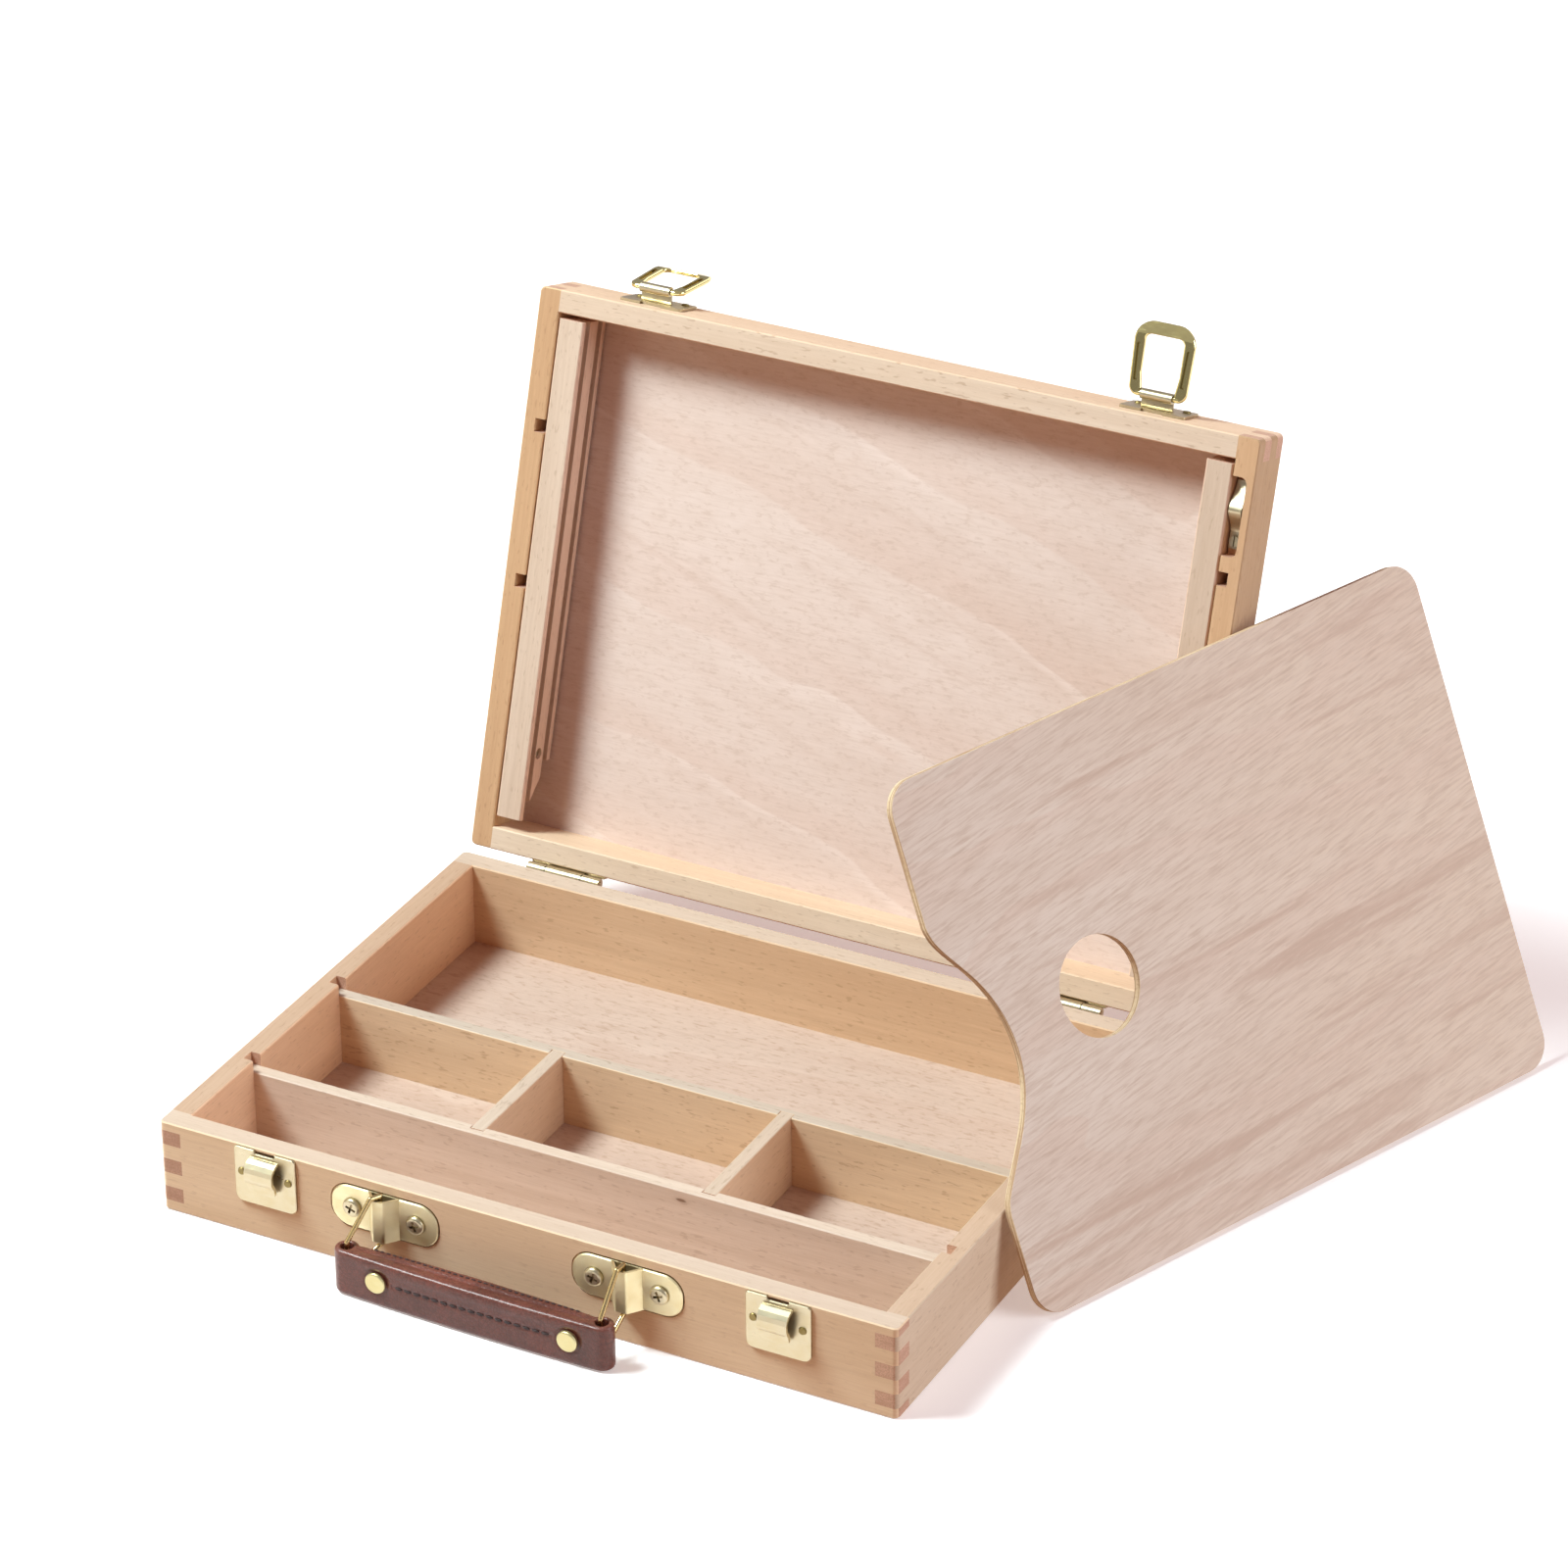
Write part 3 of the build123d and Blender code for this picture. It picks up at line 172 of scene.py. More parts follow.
def beech(name, axis, rot=(0, 0, 0), seed=0.0, face=(226, 192, 162), rim_painted_light=(211, 189, 168), end=(208, 164, 140),
          fleck=0.3, figure=0.5, contrast=1.0, knots=()):
    """Steamed beech: fine straight grain along axis, short darker ray flecks, painted light on faces that point up or
    down (the rims get their own colour for how they are lit), end grain where cut.
    """
    n = Net(name)
    p = n.coords(rot, offset=(seed, seed * 1.7, seed * 0.6))
    broad = n.noise(n.stretch(p, along(axis, 34.0, 2.6)), detail=2.0, distortion=0.6)
    rings = n.noise(n.stretch(p, along(axis, 190.0, 5.0), (3.1, 0, 0)), detail=3.0, rough=0.6, distortion=0.4)
    fine = n.noise(n.stretch(p, along(axis, 1100.0, 42.0), (0, 5.3, 0)), detail=3.0, rough=0.65)
    flecks = n.noise(n.stretch(p, along(axis, 820.0, 210.0), (0, 0, 9.7)), detail=1.0)
    patch = n.noise(n.stretch(p, along(axis, 16.0, 7.0), (2.2, 0, 6.1)), detail=2.0)
    tone = n.math("ADD", n.math("MULTIPLY", broad, figure), n.math("MULTIPLY", rings, 1.0 - figure))
    k = contrast
    col = n.mix(n.fit(tone, 0.34, 0.66, smooth=True), tint(face, 1 - 0.055 * k, 1 - 0.075 * k, 1 - 0.095 * k),
                tint(face, 1 + 0.075 * k, 1 + 0.085 * k, 1 + 0.095 * k))
    col = n.mix(n.math("MULTIPLY", n.fit(patch, 0.40, 0.68, smooth=True), 0.55 * k), col,
                tint(face, 0.965, 0.915, 0.865))
    col = n.mix(n.math("MULTIPLY", n.fit(fine, 0.38, 0.74), 0.38 * k), col, tint(face, 0.80, 0.71, 0.62))
    fleck_mask = n.math("MULTIPLY", n.fit(flecks, 0.62, 0.73, smooth=True), fleck)
    col = n.mix(fleck_mask, col, tint(face, 0.56, 0.43, 0.34))
    pale = n.math("MULTIPLY", n.fit(flecks, 0.36, 0.27, smooth=True), 0.22)
    col = n.mix(pale, col, tint(face, 1.12, 1.12, 1.14))
    for (cx, cy, cz), (lx, ly, lz) in knots:
        q = n.coords((0, 0, 0))
        v = n.node("ShaderNodeVectorMath", operation="SUBTRACT")
        n.link(q, v.inputs[0])
        v.inputs[1].default_value = (cx * MM, cy * MM, cz * MM)
        w = n.node("ShaderNodeVectorMath", operation="DIVIDE")
        n.link(v.outputs[0], w.inputs[0])
        w.inputs[1].default_value = (lx * MM, ly * MM, lz * MM)
        e = n.node("ShaderNodeVectorMath", operation="LENGTH")
        n.link(w.outputs[0], e.inputs[0])
        near = n.math("ADD", e.outputs["Value"], n.math("MULTIPLY", n.math("SUBTRACT", fine, 0.5), 1.3))
        col = n.mix(n.fit(near, 2.2, 0.9, 0.0, 0.30, smooth=True), col, tint(face, 0.66, 0.52, 0.42))
        col = n.mix(n.fit(near, 1.05, 0.5, 0.0, 0.85, smooth=True), col, tint(face, 0.30, 0.20, 0.15))
    nrm = n.split(n.coords(rot, "VECTOR", "Normal"))
    # painted light: faces pointing up or down get the rim colour, which stands in for how the light falls on the tops
    top = n.fit(n.math("ABSOLUTE", nrm[2]), 0.75, 0.9)
    col = n.mix(top, col, n.mix(1.0, col, ratio(rim_painted_light, face), "MULTIPLY"))
    # end grain
    facing = n.fit(n.math("ABSOLUTE", nrm[axis]), 0.86, 0.93)
    pores = n.noise(n.stretch(p, (1400.0, 1400.0, 1400.0)), detail=2.0)
    years = n.noise(n.stretch(p, tuple(60.0 if i == axis else (420.0 if i == 2 else 90.0) for i in range(3))), detail=2.0, distortion=0.5)
    end_col = n.mix(n.fit(pores, 0.42, 0.68), tint(end, 1.05), tint(end, 0.82, 0.76, 0.72))
    end_col = n.mix(n.math("MULTIPLY", n.fit(years, 0.4, 0.65), 0.5), end_col, tint(end, 0.80, 0.72, 0.66))
    col = n.mix(facing, col, end_col)
    n.put(n.bsdf.inputs["Base Color"], col)
    n.put(n.bsdf.inputs["Roughness"], n.fit(fine, 0.2, 0.8, 0.46, 0.60))
    n.bsdf.inputs["Specular IOR Level"].default_value = 0.35
    n.bump(n.math("ADD", n.math("MULTIPLY", fine, 0.6), n.math("MULTIPLY", flecks, 0.4)), 0.20, 0.00012)
    return n.mat


def veneer(name, rot=(0, 0, 0), grain=0.0, seed=0.0, face=(219, 199, 187), pitch=52.0, wander=1.7, streak=0.55,
           blush=0.5, dash=0.45, dash_turn=0.0, dash_size=(240.0, 640.0), line=0.25, drift=0.0, edge=True, phase=0.0, pores=0.26):
    """Rotary-cut plywood face: slanted light streaks with a pinker side, fine mottled pores, layered cut edge."""
    n = Net(name)
    p = n.coords(rot, offset=(seed, seed * 0.8, 0))

    def turned(angle):
        m = n.node("ShaderNodeMapping", vector_type="POINT")
        n.link(p, m.inputs["Vector"])
        m.inputs["Rotation"].default_value = (0, 0, angle)
        return m.outputs[0]

    g, h = turned(grain), turned(dash_turn)
    gy = n.split(g)[1]
    warp = n.noise(n.stretch(g, (5.0, 13.0, 5.0)), detail=3.0, rough=0.55, distortion=0.3)
    wide = n.noise(n.stretch(g, (2.4, 13.0, 9.0)), detail=2.5, rough=0.5, distortion=0.9)
    lines = n.noise(n.stretch(g, (5.0, 95.0, 20.0)), detail=3.0, rough=0.6, distortion=0.7)
    fade = n.noise(n.stretch(g, (9.0, 22.0, 9.0), (4.0, 1.0, 0.0)), detail=2.0)
    run = n.math("ADD", n.math("MULTIPLY", gy, 1000.0 / pitch), n.math("MULTIPLY", n.math("SUBTRACT", warp, 0.5), wander))
    saw = n.math("FRACT", n.math("ADD", run, phase + 40.0))
    crest = n.math("ADD", n.fit(saw, 0.0, 0.10, 1.0, 0.0, smooth=True), n.fit(saw, 0.965, 1.0, 0.0, 1.0, smooth=True), clamp=True)
    crest = n.math("MULTIPLY", crest, n.fit(fade, 0.36, 0.60, 0.12, 1.0, smooth=True))
    pink = n.math("MULTIPLY", n.fit(saw, 0.40, 0.94, 0.0, 1.0, smooth=True), n.fit(saw, 0.965, 1.0, 1.0, 0.0, smooth=True))
    cloud = n.noise(n.stretch(h, (60.0, 120.0, 60.0)), detail=3.0, rough=0.65, distortion=0.5)
    dashes = n.noise(n.stretch(h, (dash_size[0], dash_size[1], 300.0)), detail=2.0, rough=0.6, distortion=0.3)
    fine = n.noise(n.stretch(h, (60.0, 900.0, 200.0)), detail=3.0, rough=0.6)
    col = n.mix(n.fit(wide, 0.36, 0.64, smooth=True), tint(face, 0.965, 0.935, 0.915), tint(face, 1.045, 1.06, 1.07))
    if drift:
        px = n.split(p)[0]
        col = n.mix(n.fit(px, seed + 0.03, seed + 0.30, 0.0, drift, smooth=True), col, tint(face, 1.0, 0.94, 0.87))
    col = n.mix(n.math("MULTIPLY", pink, blush * 0.5), col, tint(face, 0.965, 0.875, 0.835))
    col = n.mix(n.math("MULTIPLY", n.fit(cloud, 0.40, 0.66), 0.30), col, tint(face, 0.93, 0.90, 0.87))
    col = n.mix(n.math("MULTIPLY", n.fit(lines, 0.54, 0.74, smooth=True), line), col, tint(face, 0.80, 0.68, 0.62))
    col = n.mix(n.math("MULTIPLY", crest, streak * 0.6), col, tint(face, 1.13, 1.17, 1.20))
    col = n.mix(n.math("MULTIPLY", n.fit(dashes, 0.54, 0.70), dash * 0.6), col, tint(face, 0.74, 0.64, 0.57))
    col = n.mix(n.math("MULTIPLY", n.fit(dashes, 0.44, 0.30), dash * 0.35), col, tint(face, 1.10, 1.12, 1.13))
    col = n.mix(n.math("MULTIPLY", n.fit(fine, 0.45, 0.74), pores), col, tint(face, 0.78, 0.69, 0.63))
    if edge:
        nrm = n.split(n.coords(rot, "VECTOR", "Normal"))
        flat = n.fit(n.math("ABSOLUTE", nrm[2]), 0.4, 0.7)
        layers = n.noise(n.stretch(p, (30.0, 30.0, 1500.0)), detail=0.0)
        edge_col = n.mix(n.fit(layers, 0.42, 0.58, smooth=True), srgb(222, 196, 160), srgb(184, 148, 116))
        edge_col = n.mix(n.math("MULTIPLY", n.fit(dashes, 0.5, 0.7), 0.4), edge_col, srgb(168, 128, 98))
        col = n.mix(flat, edge_col, col)
    n.put(n.bsdf.inputs["Base Color"], col)
    n.put(n.bsdf.inputs["Roughness"], n.fit(fine, 0.2, 0.8, 0.50, 0.62))
    n.bsdf.inputs["Specular IOR Level"].default_value = 0.3
    n.bump(n.math("ADD", n.math("MULTIPLY", fine, 0.5), n.math("MULTIPLY", dashes, 0.5)), 0.16, 0.0001)
    return n.mat


def metal(name, colour=(240, 226, 186), rough=0.22, grit_bump=0.05, gold=0.35):
    """Lacquered pale brass: cloudy colour, hairline scratches, roughness that varies over the surface."""
    n = Net(name)
    p = n.coords((0, 0, 0))
    cloud = n.noise(n.stretch(p, (170.0,) * 3), detail=3.0, distortion=0.4)
    hair = n.noise(n.stretch(p, (260.0, 2600.0, 2600.0)), detail=2.0)
    grit = n.noise(n.stretch(p, (1500.0,) * 3), detail=2.0)
    col = n.mix(n.math("MULTIPLY", n.fit(cloud, 0.38, 0.70, smooth=True), gold), srgb(*colour), tint(colour, 0.97, 0.86, 0.62))
    col = n.mix(n.math("MULTIPLY", n.fit(hair, 0.60, 0.78), 0.18), col, tint(colour, 0.72, 0.66, 0.55))
    near = n.node("ShaderNodeAmbientOcclusion")  # painted shade: the colour darkens in recesses and narrow gaps, where shade falls
    near.samples = 6
    near.inputs["Distance"].default_value = 0.0010
    # painted shade: darker brass colour where the ambient occlusion finds a recess
    col = n.mix(n.fit(near.outputs["AO"], 0.30, 0.80, 0.80, 0.0), col, srgb(84, 68, 38))
    n.put(n.bsdf.inputs["Base Color"], col)
    n.bsdf.inputs["Metallic"].default_value = 1.0
    n.put(n.bsdf.inputs["Roughness"], n.math("ADD", n.fit(cloud, 0.3, 0.7, rough * 0.75, rough * 1.15), n.fit(hair, 0.55, 0.8, 0.0, 0.10)))
    n.bump(n.math("ADD", n.math("MULTIPLY", grit, 0.5), n.math("MULTIPLY", hair, 0.5)), grit_bump, 0.00004)
    return n.mat


def leather(name):
    """Waxed red-brown hide: pebbled grain, darker in the creases, rubbed paler and redder along the raised edges."""
    n = Net(name)
    p = n.coords((0, 0, 0))
    v = n.node("ShaderNodeTexVoronoi", feature="DISTANCE_TO_EDGE")
    n.link(n.stretch(p, (620.0,) * 3), v.inputs["Vector"])
    v.inputs["Scale"].default_value = 1.0
    cells = n.fit(v.outputs["Distance"], 0.0, 0.18, smooth=True)
    soft = n.noise(n.stretch(p, (60.0,) * 3), detail=4.0, rough=0.6)
    grain = n.noise(n.stretch(p, (520.0,) * 3), detail=3.0, rough=0.6)
    geo = n.node("ShaderNodeNewGeometry")
    rub = n.fit(geo.outputs["Pointiness"], 0.505, 0.56, 0.0, 0.55, smooth=True)
    col = n.mix(n.fit(soft, 0.35, 0.65), srgb(92, 46, 36), srgb(122, 66, 54))
    col = n.mix(n.math("MULTIPLY", n.fit(grain, 0.45, 0.7), 0.40), col, srgb(56, 27, 24))
    col = n.mix(n.fit(cells, 0.0, 0.5, 0.45, 0.0), col, srgb(46, 22, 20))
    col = n.mix(rub, col, srgb(168, 108, 94))
    n.put(n.bsdf.inputs["Base Color"], col)
    n.put(n.bsdf.inputs["Roughness"], n.fit(grain, 0.3, 0.7, 0.34, 0.50))
    n.bsdf.inputs["Specular Tint"].default_value = (1.0, 0.80, 0.74, 1.0)
    n.bsdf.inputs["Specular IOR Level"].default_value = 0.42
    n.bsdf.inputs["Coat Weight"].default_value = 0.45
    n.bsdf.inputs["Coat Roughness"].default_value = 0.28
    n.bsdf.inputs["Coat Tint"].default_value = (1.0, 0.84, 0.80, 1.0)
    n.bump(n.math("ADD", n.math("MULTIPLY", cells, 0.5), n.math("MULTIPLY", grain, 0.5)), 0.55, 0.0003)
    return n.mat


def thread_mat(name, colour, dark):
    """Twisted waxed thread."""
    n = Net(name)
    p = n.coords((0, 0, 0))
    w = n.node("ShaderNodeTexWave", wave_type="BANDS", bands_direction="DIAGONAL")
    n.link(n.stretch(p, (1700.0,) * 3), w.inputs["Vector"])
    w.inputs["Scale"].default_value = 1.0
    w.inputs["Distortion"].default_value = 1.5
    n.put(n.bsdf.inputs["Base Color"], n.mix(w.outputs["Fac"], srgb(*dark), srgb(*colour)))
    n.put(n.bsdf.inputs["Roughness"], n.fit(w.outputs["Fac"], 0.0, 1.0, 0.75, 0.55))
    n.bump(w.outputs["Fac"], 0.4, 0.0001)
    return n.mat


def stage_white(name):
    """The studio's white sweep: matt, with a little light of its own."""
    n = Net(name)
    n.bsdf.inputs["Base Color"].default_value = (0.95, 0.91, 0.895, 1)
    n.bsdf.inputs["Roughness"].default_value = 0.9
    n.bsdf.inputs["Specular IOR Level"].default_value = 0.0
    n.bsdf.inputs["Emission Color"].default_value = (1, 1, 1, 1)
    n.bsdf.inputs["Emission Strength"].default_value = 0.30
    return n.mat


# ------------------------------------------------------------------ dressing the CAD nodes
def dress(name, mat, bevel=0.0, segments=2, angle=32):
    """Gives a CAD node its material, and softens its arrises with modifiers."""
    o = nodes[name]
    o.data.materials.clear()
    o.data.materials.append(mat)
    if bevel:
        w = o.modifiers.new("weld", "WELD")
        w.merge_threshold = 0.000002
        b = o.modifiers.new("bevel", "BEVEL")
        b.width = bevel * MM
        b.segments = segments
        b.limit_method = "ANGLE"
        b.angle_limit = math.radians(angle)
        b.miter_outer = "MITER_ARC"
        b.harden_normals = False
        f = o.modifiers.new("normals", "WEIGHTED_NORMAL")
        f.mode = "FACE_AREA"
        f.weight = 100
        f.keep_sharp = False
    return o


X, Y, Z = 0, 1, 2
for name, axis, seed, kw in (
    ("base_wall_front", X, 0.3, dict(face=(247, 217, 183), rim_painted_light=(211, 187, 167), fleck=0.18)),
    ("base_wall_back", X, 1.1, dict(face=(221, 187, 152), rim_painted_light=(208, 185, 166), fleck=0.35)),
    ("base_wall_left", Y, 2.2, dict(face=(238, 198, 163), rim_painted_light=(196, 162, 136))),
    ("base_wall_right", Y, 3.4, dict(face=(219, 196, 172), rim_painted_light=(204, 173, 148), end=(226, 184, 158))),
    ("long_divider_front", X, 4.1, dict(face=(223, 200, 182), rim_painted_light=(211, 187, 167),
                                        knots=(((42.9, -68.05, 32.4), (2.6, 2.0, 0.95)),))),
    ("long_divider_rear", X, 5.6, dict(face=(227, 197, 163), rim_painted_light=(197, 177, 159), fleck=0.42)),
    ("short_divider_left", Y, 6.3, dict(face=(224, 192, 162), rim_painted_light=(206, 183, 163), fleck=0.35)),
    ("short_divider_right", Y, 7.2, dict(face=(224, 192, 162), rim_painted_light=(206, 183, 163), fleck=0.35)),
):
    dress(name, beech("beech_" + name, axis, seed=seed, **kw), 0.22)
for name, axis, seed, kw in (
    ("lid_wall_front", X, 8.3, dict(face=(231, 196, 166), rim_painted_light=(222, 197, 175), fleck=0.45)),
    ("lid_wall_back", X, 9.1, dict(face=(231, 199, 169), rim_painted_light=(222, 199, 176), fleck=0.4)),
    ("lid_wall_left", Y, 10.2, dict(face=(221, 187, 144), rim_painted_light=(200, 158, 120))),
    ("lid_wall_right", Y, 11.4, dict(face=(192, 156, 119), rim_painted_light=(212, 171, 134))),
    ("canvas_rail_left", Y, 12.5, dict(face=(224, 189, 166), rim_painted_light=(212, 186, 165))),
    ("canvas_rail_right", Y, 13.6, dict(face=(224, 189, 166), rim_painted_light=(212, 186, 165))),
):
    dress(name, beech("beech_" + name, axis, LID_ROT, seed=seed, **kw), 0.22)
dress("base_panel", veneer("plywood_base", grain=-0.12, seed=1.3, face=(204, 177, 160), pitch=74.0, streak=0.8, dash=1.0,
                           dash_size=(200.0, 520.0), pores=0.35), 0.1)
dress("lid_panel", veneer("plywood_lid", LID_ROT, grain=-0.323, seed=4.4, face=(222, 199, 187), pitch=54.0, streak=1.0,
                          dash=0.6, blush=0.7, pores=0.32), 0.1)
dress("palette", veneer("plywood_palette", PAL_ROT, grain=-0.06, seed=7.7, face=(234, 218, 202), pitch=46.0, wander=2.4,
                        streak=0.15, blush=0.9, dash=0.75, dash_turn=-0.16, dash_size=(90.0, 760.0), line=0.85, drift=0.8,
                        pores=0.75), 0.5, 3)

brass = metal("brass_plate", (197, 180, 150), 0.36, gold=0.25)
brass_handle = metal("brass_handle", (226, 208, 168), 0.48, gold=0.2)
# the nails get a darker brass colour
brass_nail = metal("brass_darker", (138, 118, 76), 0.50, gold=0.4)
brass_bright = metal("brass_polished", (230, 212, 152), 0.12, 0.02, 0.2)
brass_rivet = metal("brass_rivet", (206, 190, 142), 0.40, 0.04, 0.2)
brass_wire = metal("brass_wire", (204, 176, 128), 0.26, 0.04, 0.3)
for name in nodes:
    if name.startswith(("catch_plate", "latch_plate", "handle_plate", "hinge")) and "screw" not in name:
        dress(name, brass_handle if name.startswith("handle") else brass)
    elif name.startswith("latch_loop"):
        dress(name, brass_bright)
    elif name.startswith("handle_ring"):
        dress(name, brass_wire)
    elif name.startswith("grip_rivet"):
        dress(name, brass_rivet)
    elif name.startswith(("catch_nails", "latch_nails", "handle_screw", "hinge_base_screws", "hinge_lid_screws", "rail_screw", "leaf_spring")):
        dress(name, brass_nail if "nails" in name else brass)
hide = leather("leather_brown")

# ------------------------------------------------------------------ leather grip
def new_object(name, data, body=None, mat=None):
    o = bpy.data.objects.new(name, data)
    bpy.context.scene.collection.objects.link(o)
    if mat is not None:
        data.materials.clear()
        data.materials.append(mat)
    if body:
        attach(o, body)
    return o


def apply_modifiers(o):
    dg = bpy.context.evaluated_depsgraph_get()
    made = bpy.data.meshes.new_from_object(o.evaluated_get(dg), depsgraph=dg)
    o.modifiers.clear()
    o.data = made
    return made


def shade_smooth(data):
    data.polygons.foreach_set("use_smooth", [True] * len(data.polygons))


G_EYE = Vector((-70.4, -143.05, 0.0))
G_RUN = Vector((118.25, -2.0, 0.0)).normalized()
G_BACK = Vector((-G_RUN.y, G_RUN.x, 0.0))
SPAN = 118.267 + 0.6
RIVETS = (16.9, SPAN - 12.6)
RIVET_Z = 11.6


def on_grip(x, y, z):
    """A point given along the grip, behind the line of its eyes and up, in millimetres, as a scene point."""
    return (G_EYE + G_RUN * x + G_BACK * y + Vector((0, 0, z))) * MM


grip = new_object("grip_detail", nodes["grip_leather"].data.copy(), None, hide)
m = grip.modifiers.new("remesh", "REMESH")
m.mode = "VOXEL"
m.voxel_size = 0.5 * MM
m = grip.modifiers.new("smooth", "SMOOTH")
m.factor, m.iterations = 0.5, 14
apply_modifiers(grip)
for v in grip.data.vertices:
    d = v.co / MM - G_EYE
    x, y, z = d.dot(G_RUN), d.dot(G_BACK), d.z
    u = x / SPAN
    if y < -2 and RIVETS[0] - 8 < x < RIVETS[1] + 8:
        near = math.exp(-((z - RIVET_Z) / 1.1) ** 2)
        run = 1.0 if RIVETS[0] + 7 < x < RIVETS[1] - 7 else 0.0
        y += 0.40 * near * run
        for rx in RIVETS:
            q = math.hypot(x - rx, z - RIVET_Z)
            y += 0.55 * math.exp(-((q - 4.9) / 1.1) ** 2) if q > 4.3 else 0.0
    if 0.03 < u < 0.97:
        swell = math.sin(math.pi * (u - 0.03) / 0.94) ** 0.35
        if z > 14:
            # the strap is folded over a cord: a roll along the top front edge, a seam behind it, then a slope down to the back
            top = min(1.0, max(0.0, (z - 14) / 6.0))
            y -= 0.35 * swell * math.exp(-((z - 17.8) / 1.8) ** 2) if y < -3 else 0.0
            z -= swell * top * (0.75 * math.exp(-((y + 0.6) / 1.5) ** 2) + 0.85 * max(0.0, min(1.0, (y - 0.5) / 4.5)))
    v.co = on_grip(x, y, z)
shade_smooth(grip.data)
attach(grip, "handle_grip")
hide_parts("grip_leather")


def stitches(name, points, normals, length, radius, mat, body):
    """Short rounded threads laid along a line on a surface."""
    bm = bmesh.new()
    for p, q, nrm in zip(points[:-1], points[1:], normals):
        mid, run = (p + q) / 2, (q - p).normalized()
        side = nrm.cross(run).normalized()
        up_ = run.cross(side)
        basis = Matrix((run, side, up_)).transposed().to_4x4()
        scale = Matrix.Diagonal((length / 2, radius, radius * 0.8, 1.0))
        bmesh.ops.create_uvsphere(bm, u_segments=10, v_segments=6, radius=1.0,
                                  matrix=Matrix.Translation(mid) @ basis @ scale)
    data = bpy.data.meshes.new(name)
    bm.to_mesh(data)
    bm.free()
    shade_smooth(data)
    return new_object(name, data, body, mat)


thread = thread_mat("thread_brown", (66, 40, 36), (34, 19, 18))
tree = BVHTree.FromPolygons([v.co for v in grip.data.vertices], [p.vertices for p in grip.data.polygons])


def seam(name, steps, x0, x1, start, aim, length, radius):
    """Stitches along a line found by casting rays from start(x) towards the grip."""
    pts, nrms = [], []
    for i in range(steps + 1):
        hit, nrm, _, _ = tree.ray_cast(start(x0 + (x1 - x0) * i / steps), aim)
        if hit is not None:
            pts.append(hit + nrm * 0.0001)
            nrms.append(nrm)
    made = stitches(name, pts, nrms, length * MM, radius * MM, thread, "handle_grip")


seam("grip_stitches_front", 17, RIVETS[0] + 8.5, RIVETS[1] - 8.5, lambda x: on_grip(x, -34, RIVET_Z), G_BACK, 3.5, 0.66)
seam("grip_stitches_top", 34, 11.0, SPAN - 11.0, lambda x: on_grip(x, 2.6, 60), Vector((0, 0, -1)), 2.1, 0.42)

# ------------------------------------------------------------------ stage, light, camera
mesh = bpy.data.meshes.new("floor")
mesh.from_pydata([(-15, -15, -0.0003), (15, -15, -0.0003), (15, 15, -0.0003), (-15, 15, -0.0003)], [], [(0, 1, 2, 3)])
floor = bpy.data.objects.new("floor", mesh)
bpy.context.scene.collection.objects.link(floor)
floor.data.materials.append(stage_white("floor_pale"))
floor.visible_diffuse = False

# a soft room: bright above, dark band along the horizon for the brass to mirror, dim below
world = bpy.data.worlds.new("studio")
bpy.context.scene.world = world
world.use_nodes = True
wt = world.node_tree
sky = wt.nodes["Background"]
where = wt.nodes.new("ShaderNodeTexCoord")
split = wt.nodes.new("ShaderNodeSeparateXYZ")
ramp = wt.nodes.new("ShaderNodeValToRGB")
wt.links.new(where.outputs["Generated"], split.inputs[0])
rise = wt.nodes.new("ShaderNodeMapRange")
rise.inputs[1].default_value, rise.inputs[2].default_value = -1.0, 1.0
wt.links.new(split.outputs[2], rise.inputs[0])
wt.links.new(rise.outputs[0], ramp.inputs[0])
stops = ((0.0, 0.28), (0.44, 0.27), (0.50, 0.22), (0.56, 0.24), (0.66, 0.40), (1.0, 0.44))
while len(ramp.color_ramp.elements) < len(stops):
    ramp.color_ramp.elements.new(0.5)
for e, (at, v) in zip(ramp.color_ramp.elements, stops):
    e.position, e.color = at, (v, v, v, 1)
glow = wt.nodes.new("ShaderNodeValToRGB")
wt.links.new(rise.outputs[0], glow.inputs[0])
warm = ((0.0, (0.52, 0.34, 0.23)), (0.44, (0.52, 0.34, 0.23)), (0.52, (0.19, 0.06, 0.045)), (1.0, (0.21, 0.065, 0.05)))
while len(glow.color_ramp.elements) < len(warm):
    glow.color_ramp.elements.new(0.5)
for e, (at, c) in zip(glow.color_ramp.elements, warm):
    e.position, e.color = at, (*c, 1)
path = wt.nodes.new("ShaderNodeLightPath")
mirrored = wt.nodes.new("ShaderNodeMix")
mirrored.data_type = "RGBA"
wt.links.new(path.outputs["Is Glossy Ray"], mirrored.inputs[0])
wt.links.new(glow.outputs[0], mirrored.inputs[6])
wt.links.new(ramp.outputs[0], mirrored.inputs[7])
seen = wt.nodes.new("ShaderNodeMix")
seen.data_type = "RGBA"
wt.links.new(path.outputs["Is Camera Ray"], seen.inputs[0])
wt.links.new(mirrored.outputs[2], seen.inputs[6])
seen.inputs[7].default_value = (1, 1, 1, 1)
wt.links.new(seen.outputs[2], sky.inputs[0])
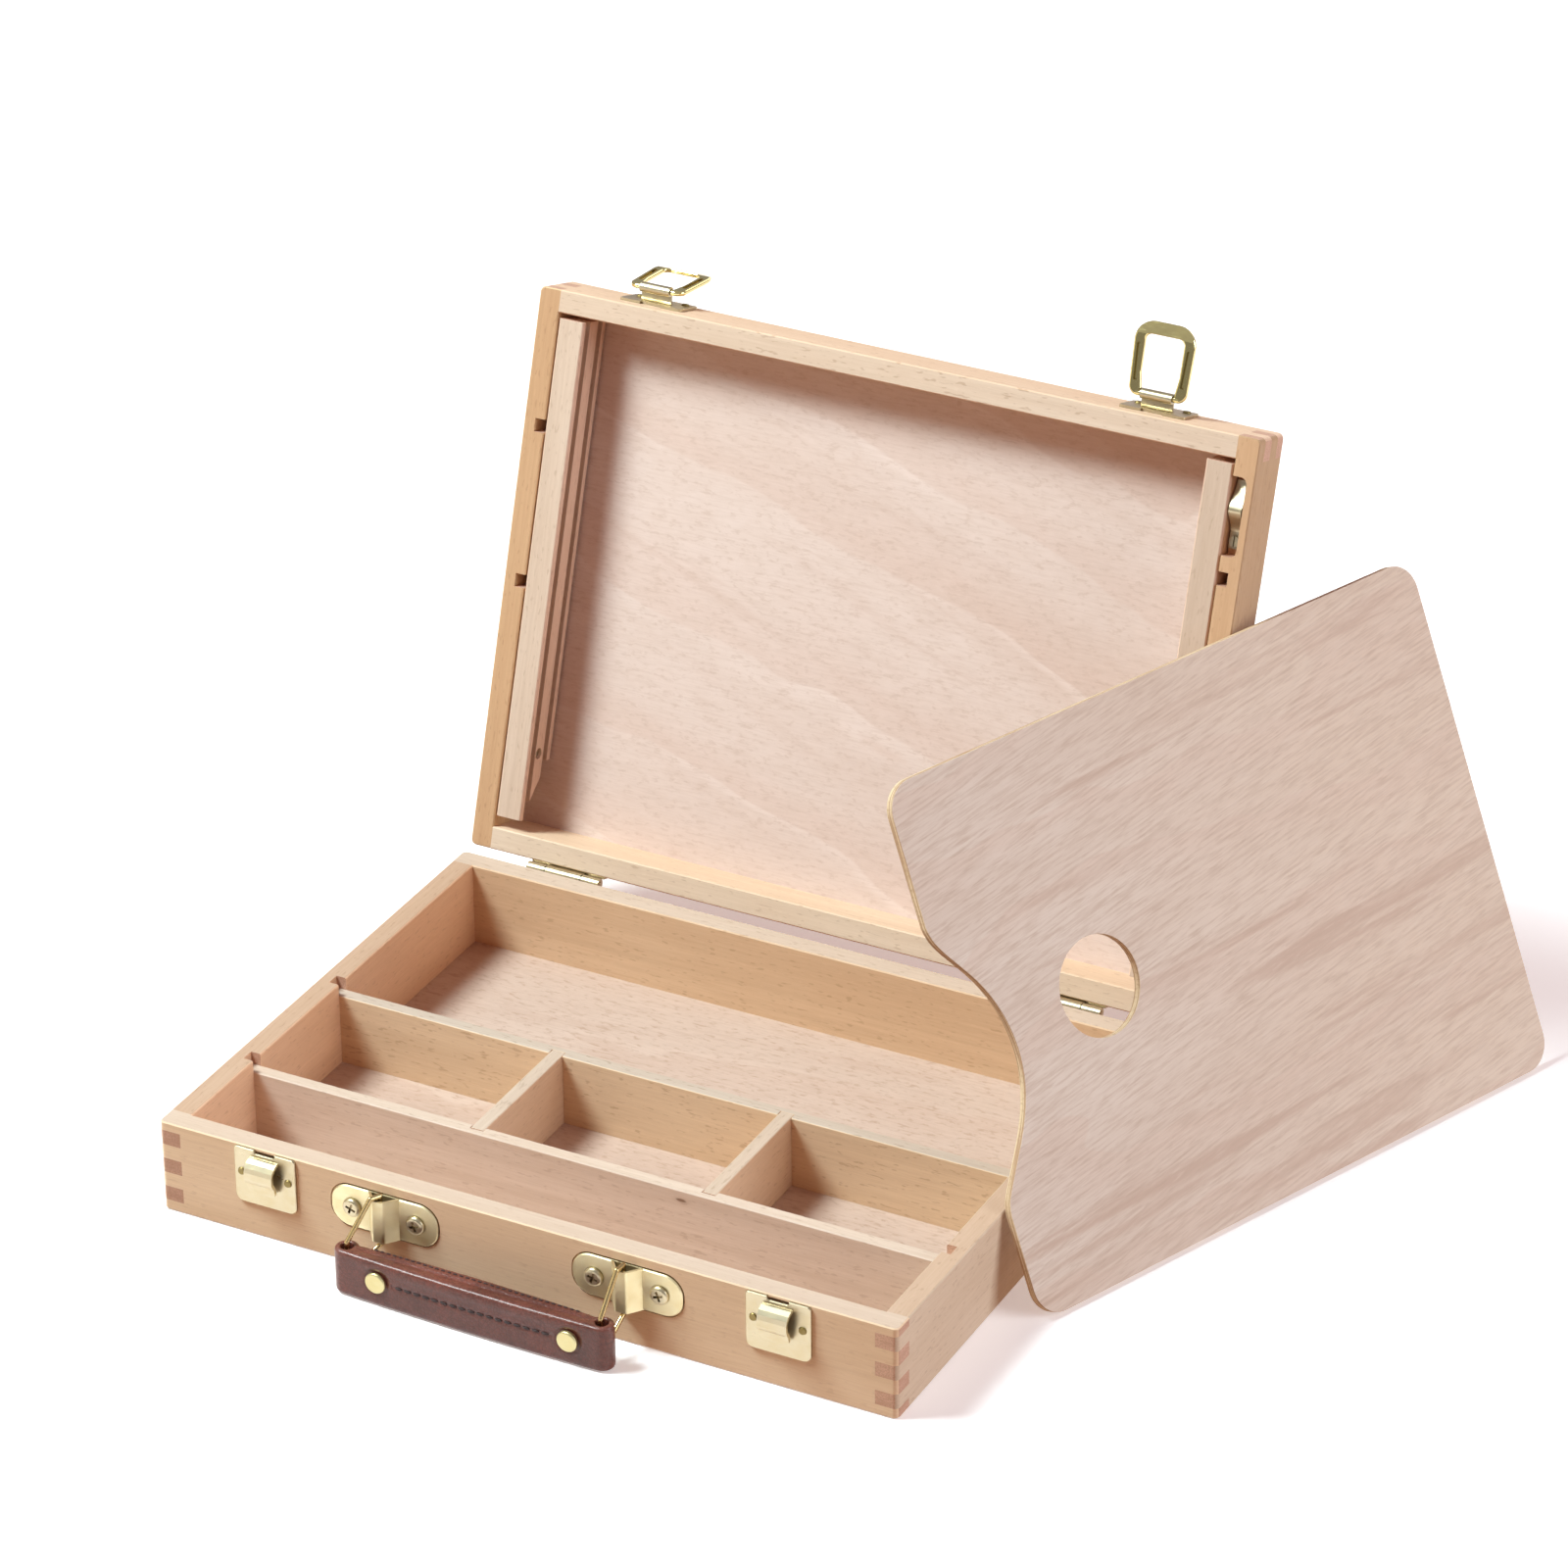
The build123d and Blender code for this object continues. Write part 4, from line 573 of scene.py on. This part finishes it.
sky.inputs[1].default_value = 1.0


def area(name, place, target, size, power, colour=(1, 1, 1)):
    light = bpy.data.lights.new(name, "AREA")
    light.shape = "RECTANGLE"
    light.size, light.size_y = size
    light.energy = power
    light.color = colour
    o = bpy.data.objects.new(name, light)
    bpy.context.scene.collection.objects.link(o)
    o.location = place
    o.rotation_mode = "QUATERNION"
    o.rotation_quaternion = (Vector(target) - Vector(place)).to_track_quat("-Z", "Y")
    return o


area("key", (-1.09, -0.608, 1.875), (0, 0.05, 0.05), (0.7, 0.7), 76.3, (0.765, 0.955, 1.0))
area("side_fill", (2.142, 0.215, 0.929), (0, 0.05, 0.05), (1.2, 1.2), 34.3, (0.795, 0.915, 1.0))
area("front_fill", (-1.73, -1.284, 0.677), (0, 0.05, 0.05), (1.2, 1.2), 5.4, (0.977, 1.0, 0.806))
area("back_fill", (0.3, 2.4, 0.9), (0, 0.05, 0.1), (1.4, 1.0), 10.0, (1.0, 0.95, 0.9))

cam_data = bpy.data.cameras.new("camera")
cam = bpy.data.objects.new("camera", cam_data)
bpy.context.scene.collection.objects.link(cam)
az, el, roll = math.radians(-27.826), math.radians(29.145), math.radians(-0.516)
d = Vector((math.sin(az) * math.cos(el), math.cos(az) * math.cos(el), -math.sin(el)))
right = Vector((math.cos(az), -math.sin(az), 0))
up = right.cross(d)
r2 = right * math.cos(roll) + up * math.sin(roll)
u2 = up * math.cos(roll) - right * math.sin(roll)
rot = Matrix((r2, u2, -d)).transposed()
cam.matrix_world = Matrix.Translation(Vector((1097.06, -1983.28, 1441.37)) * MM) @ rot.to_4x4()
cam_data.sensor_fit = "HORIZONTAL"
cam_data.sensor_width = 36.0
cam_data.lens = 6530.9 / 1600 * 36.0
cam_data.shift_x = (800 - 787.5) / 1600
cam_data.shift_y = (806.3 - 800) / 1600
cam_data.clip_start, cam_data.clip_end = 0.1, 50.0
bpy.context.scene.camera = cam
bpy.context.scene.view_settings.view_transform = "Standard"
bpy.context.scene.view_settings.exposure = 0.0
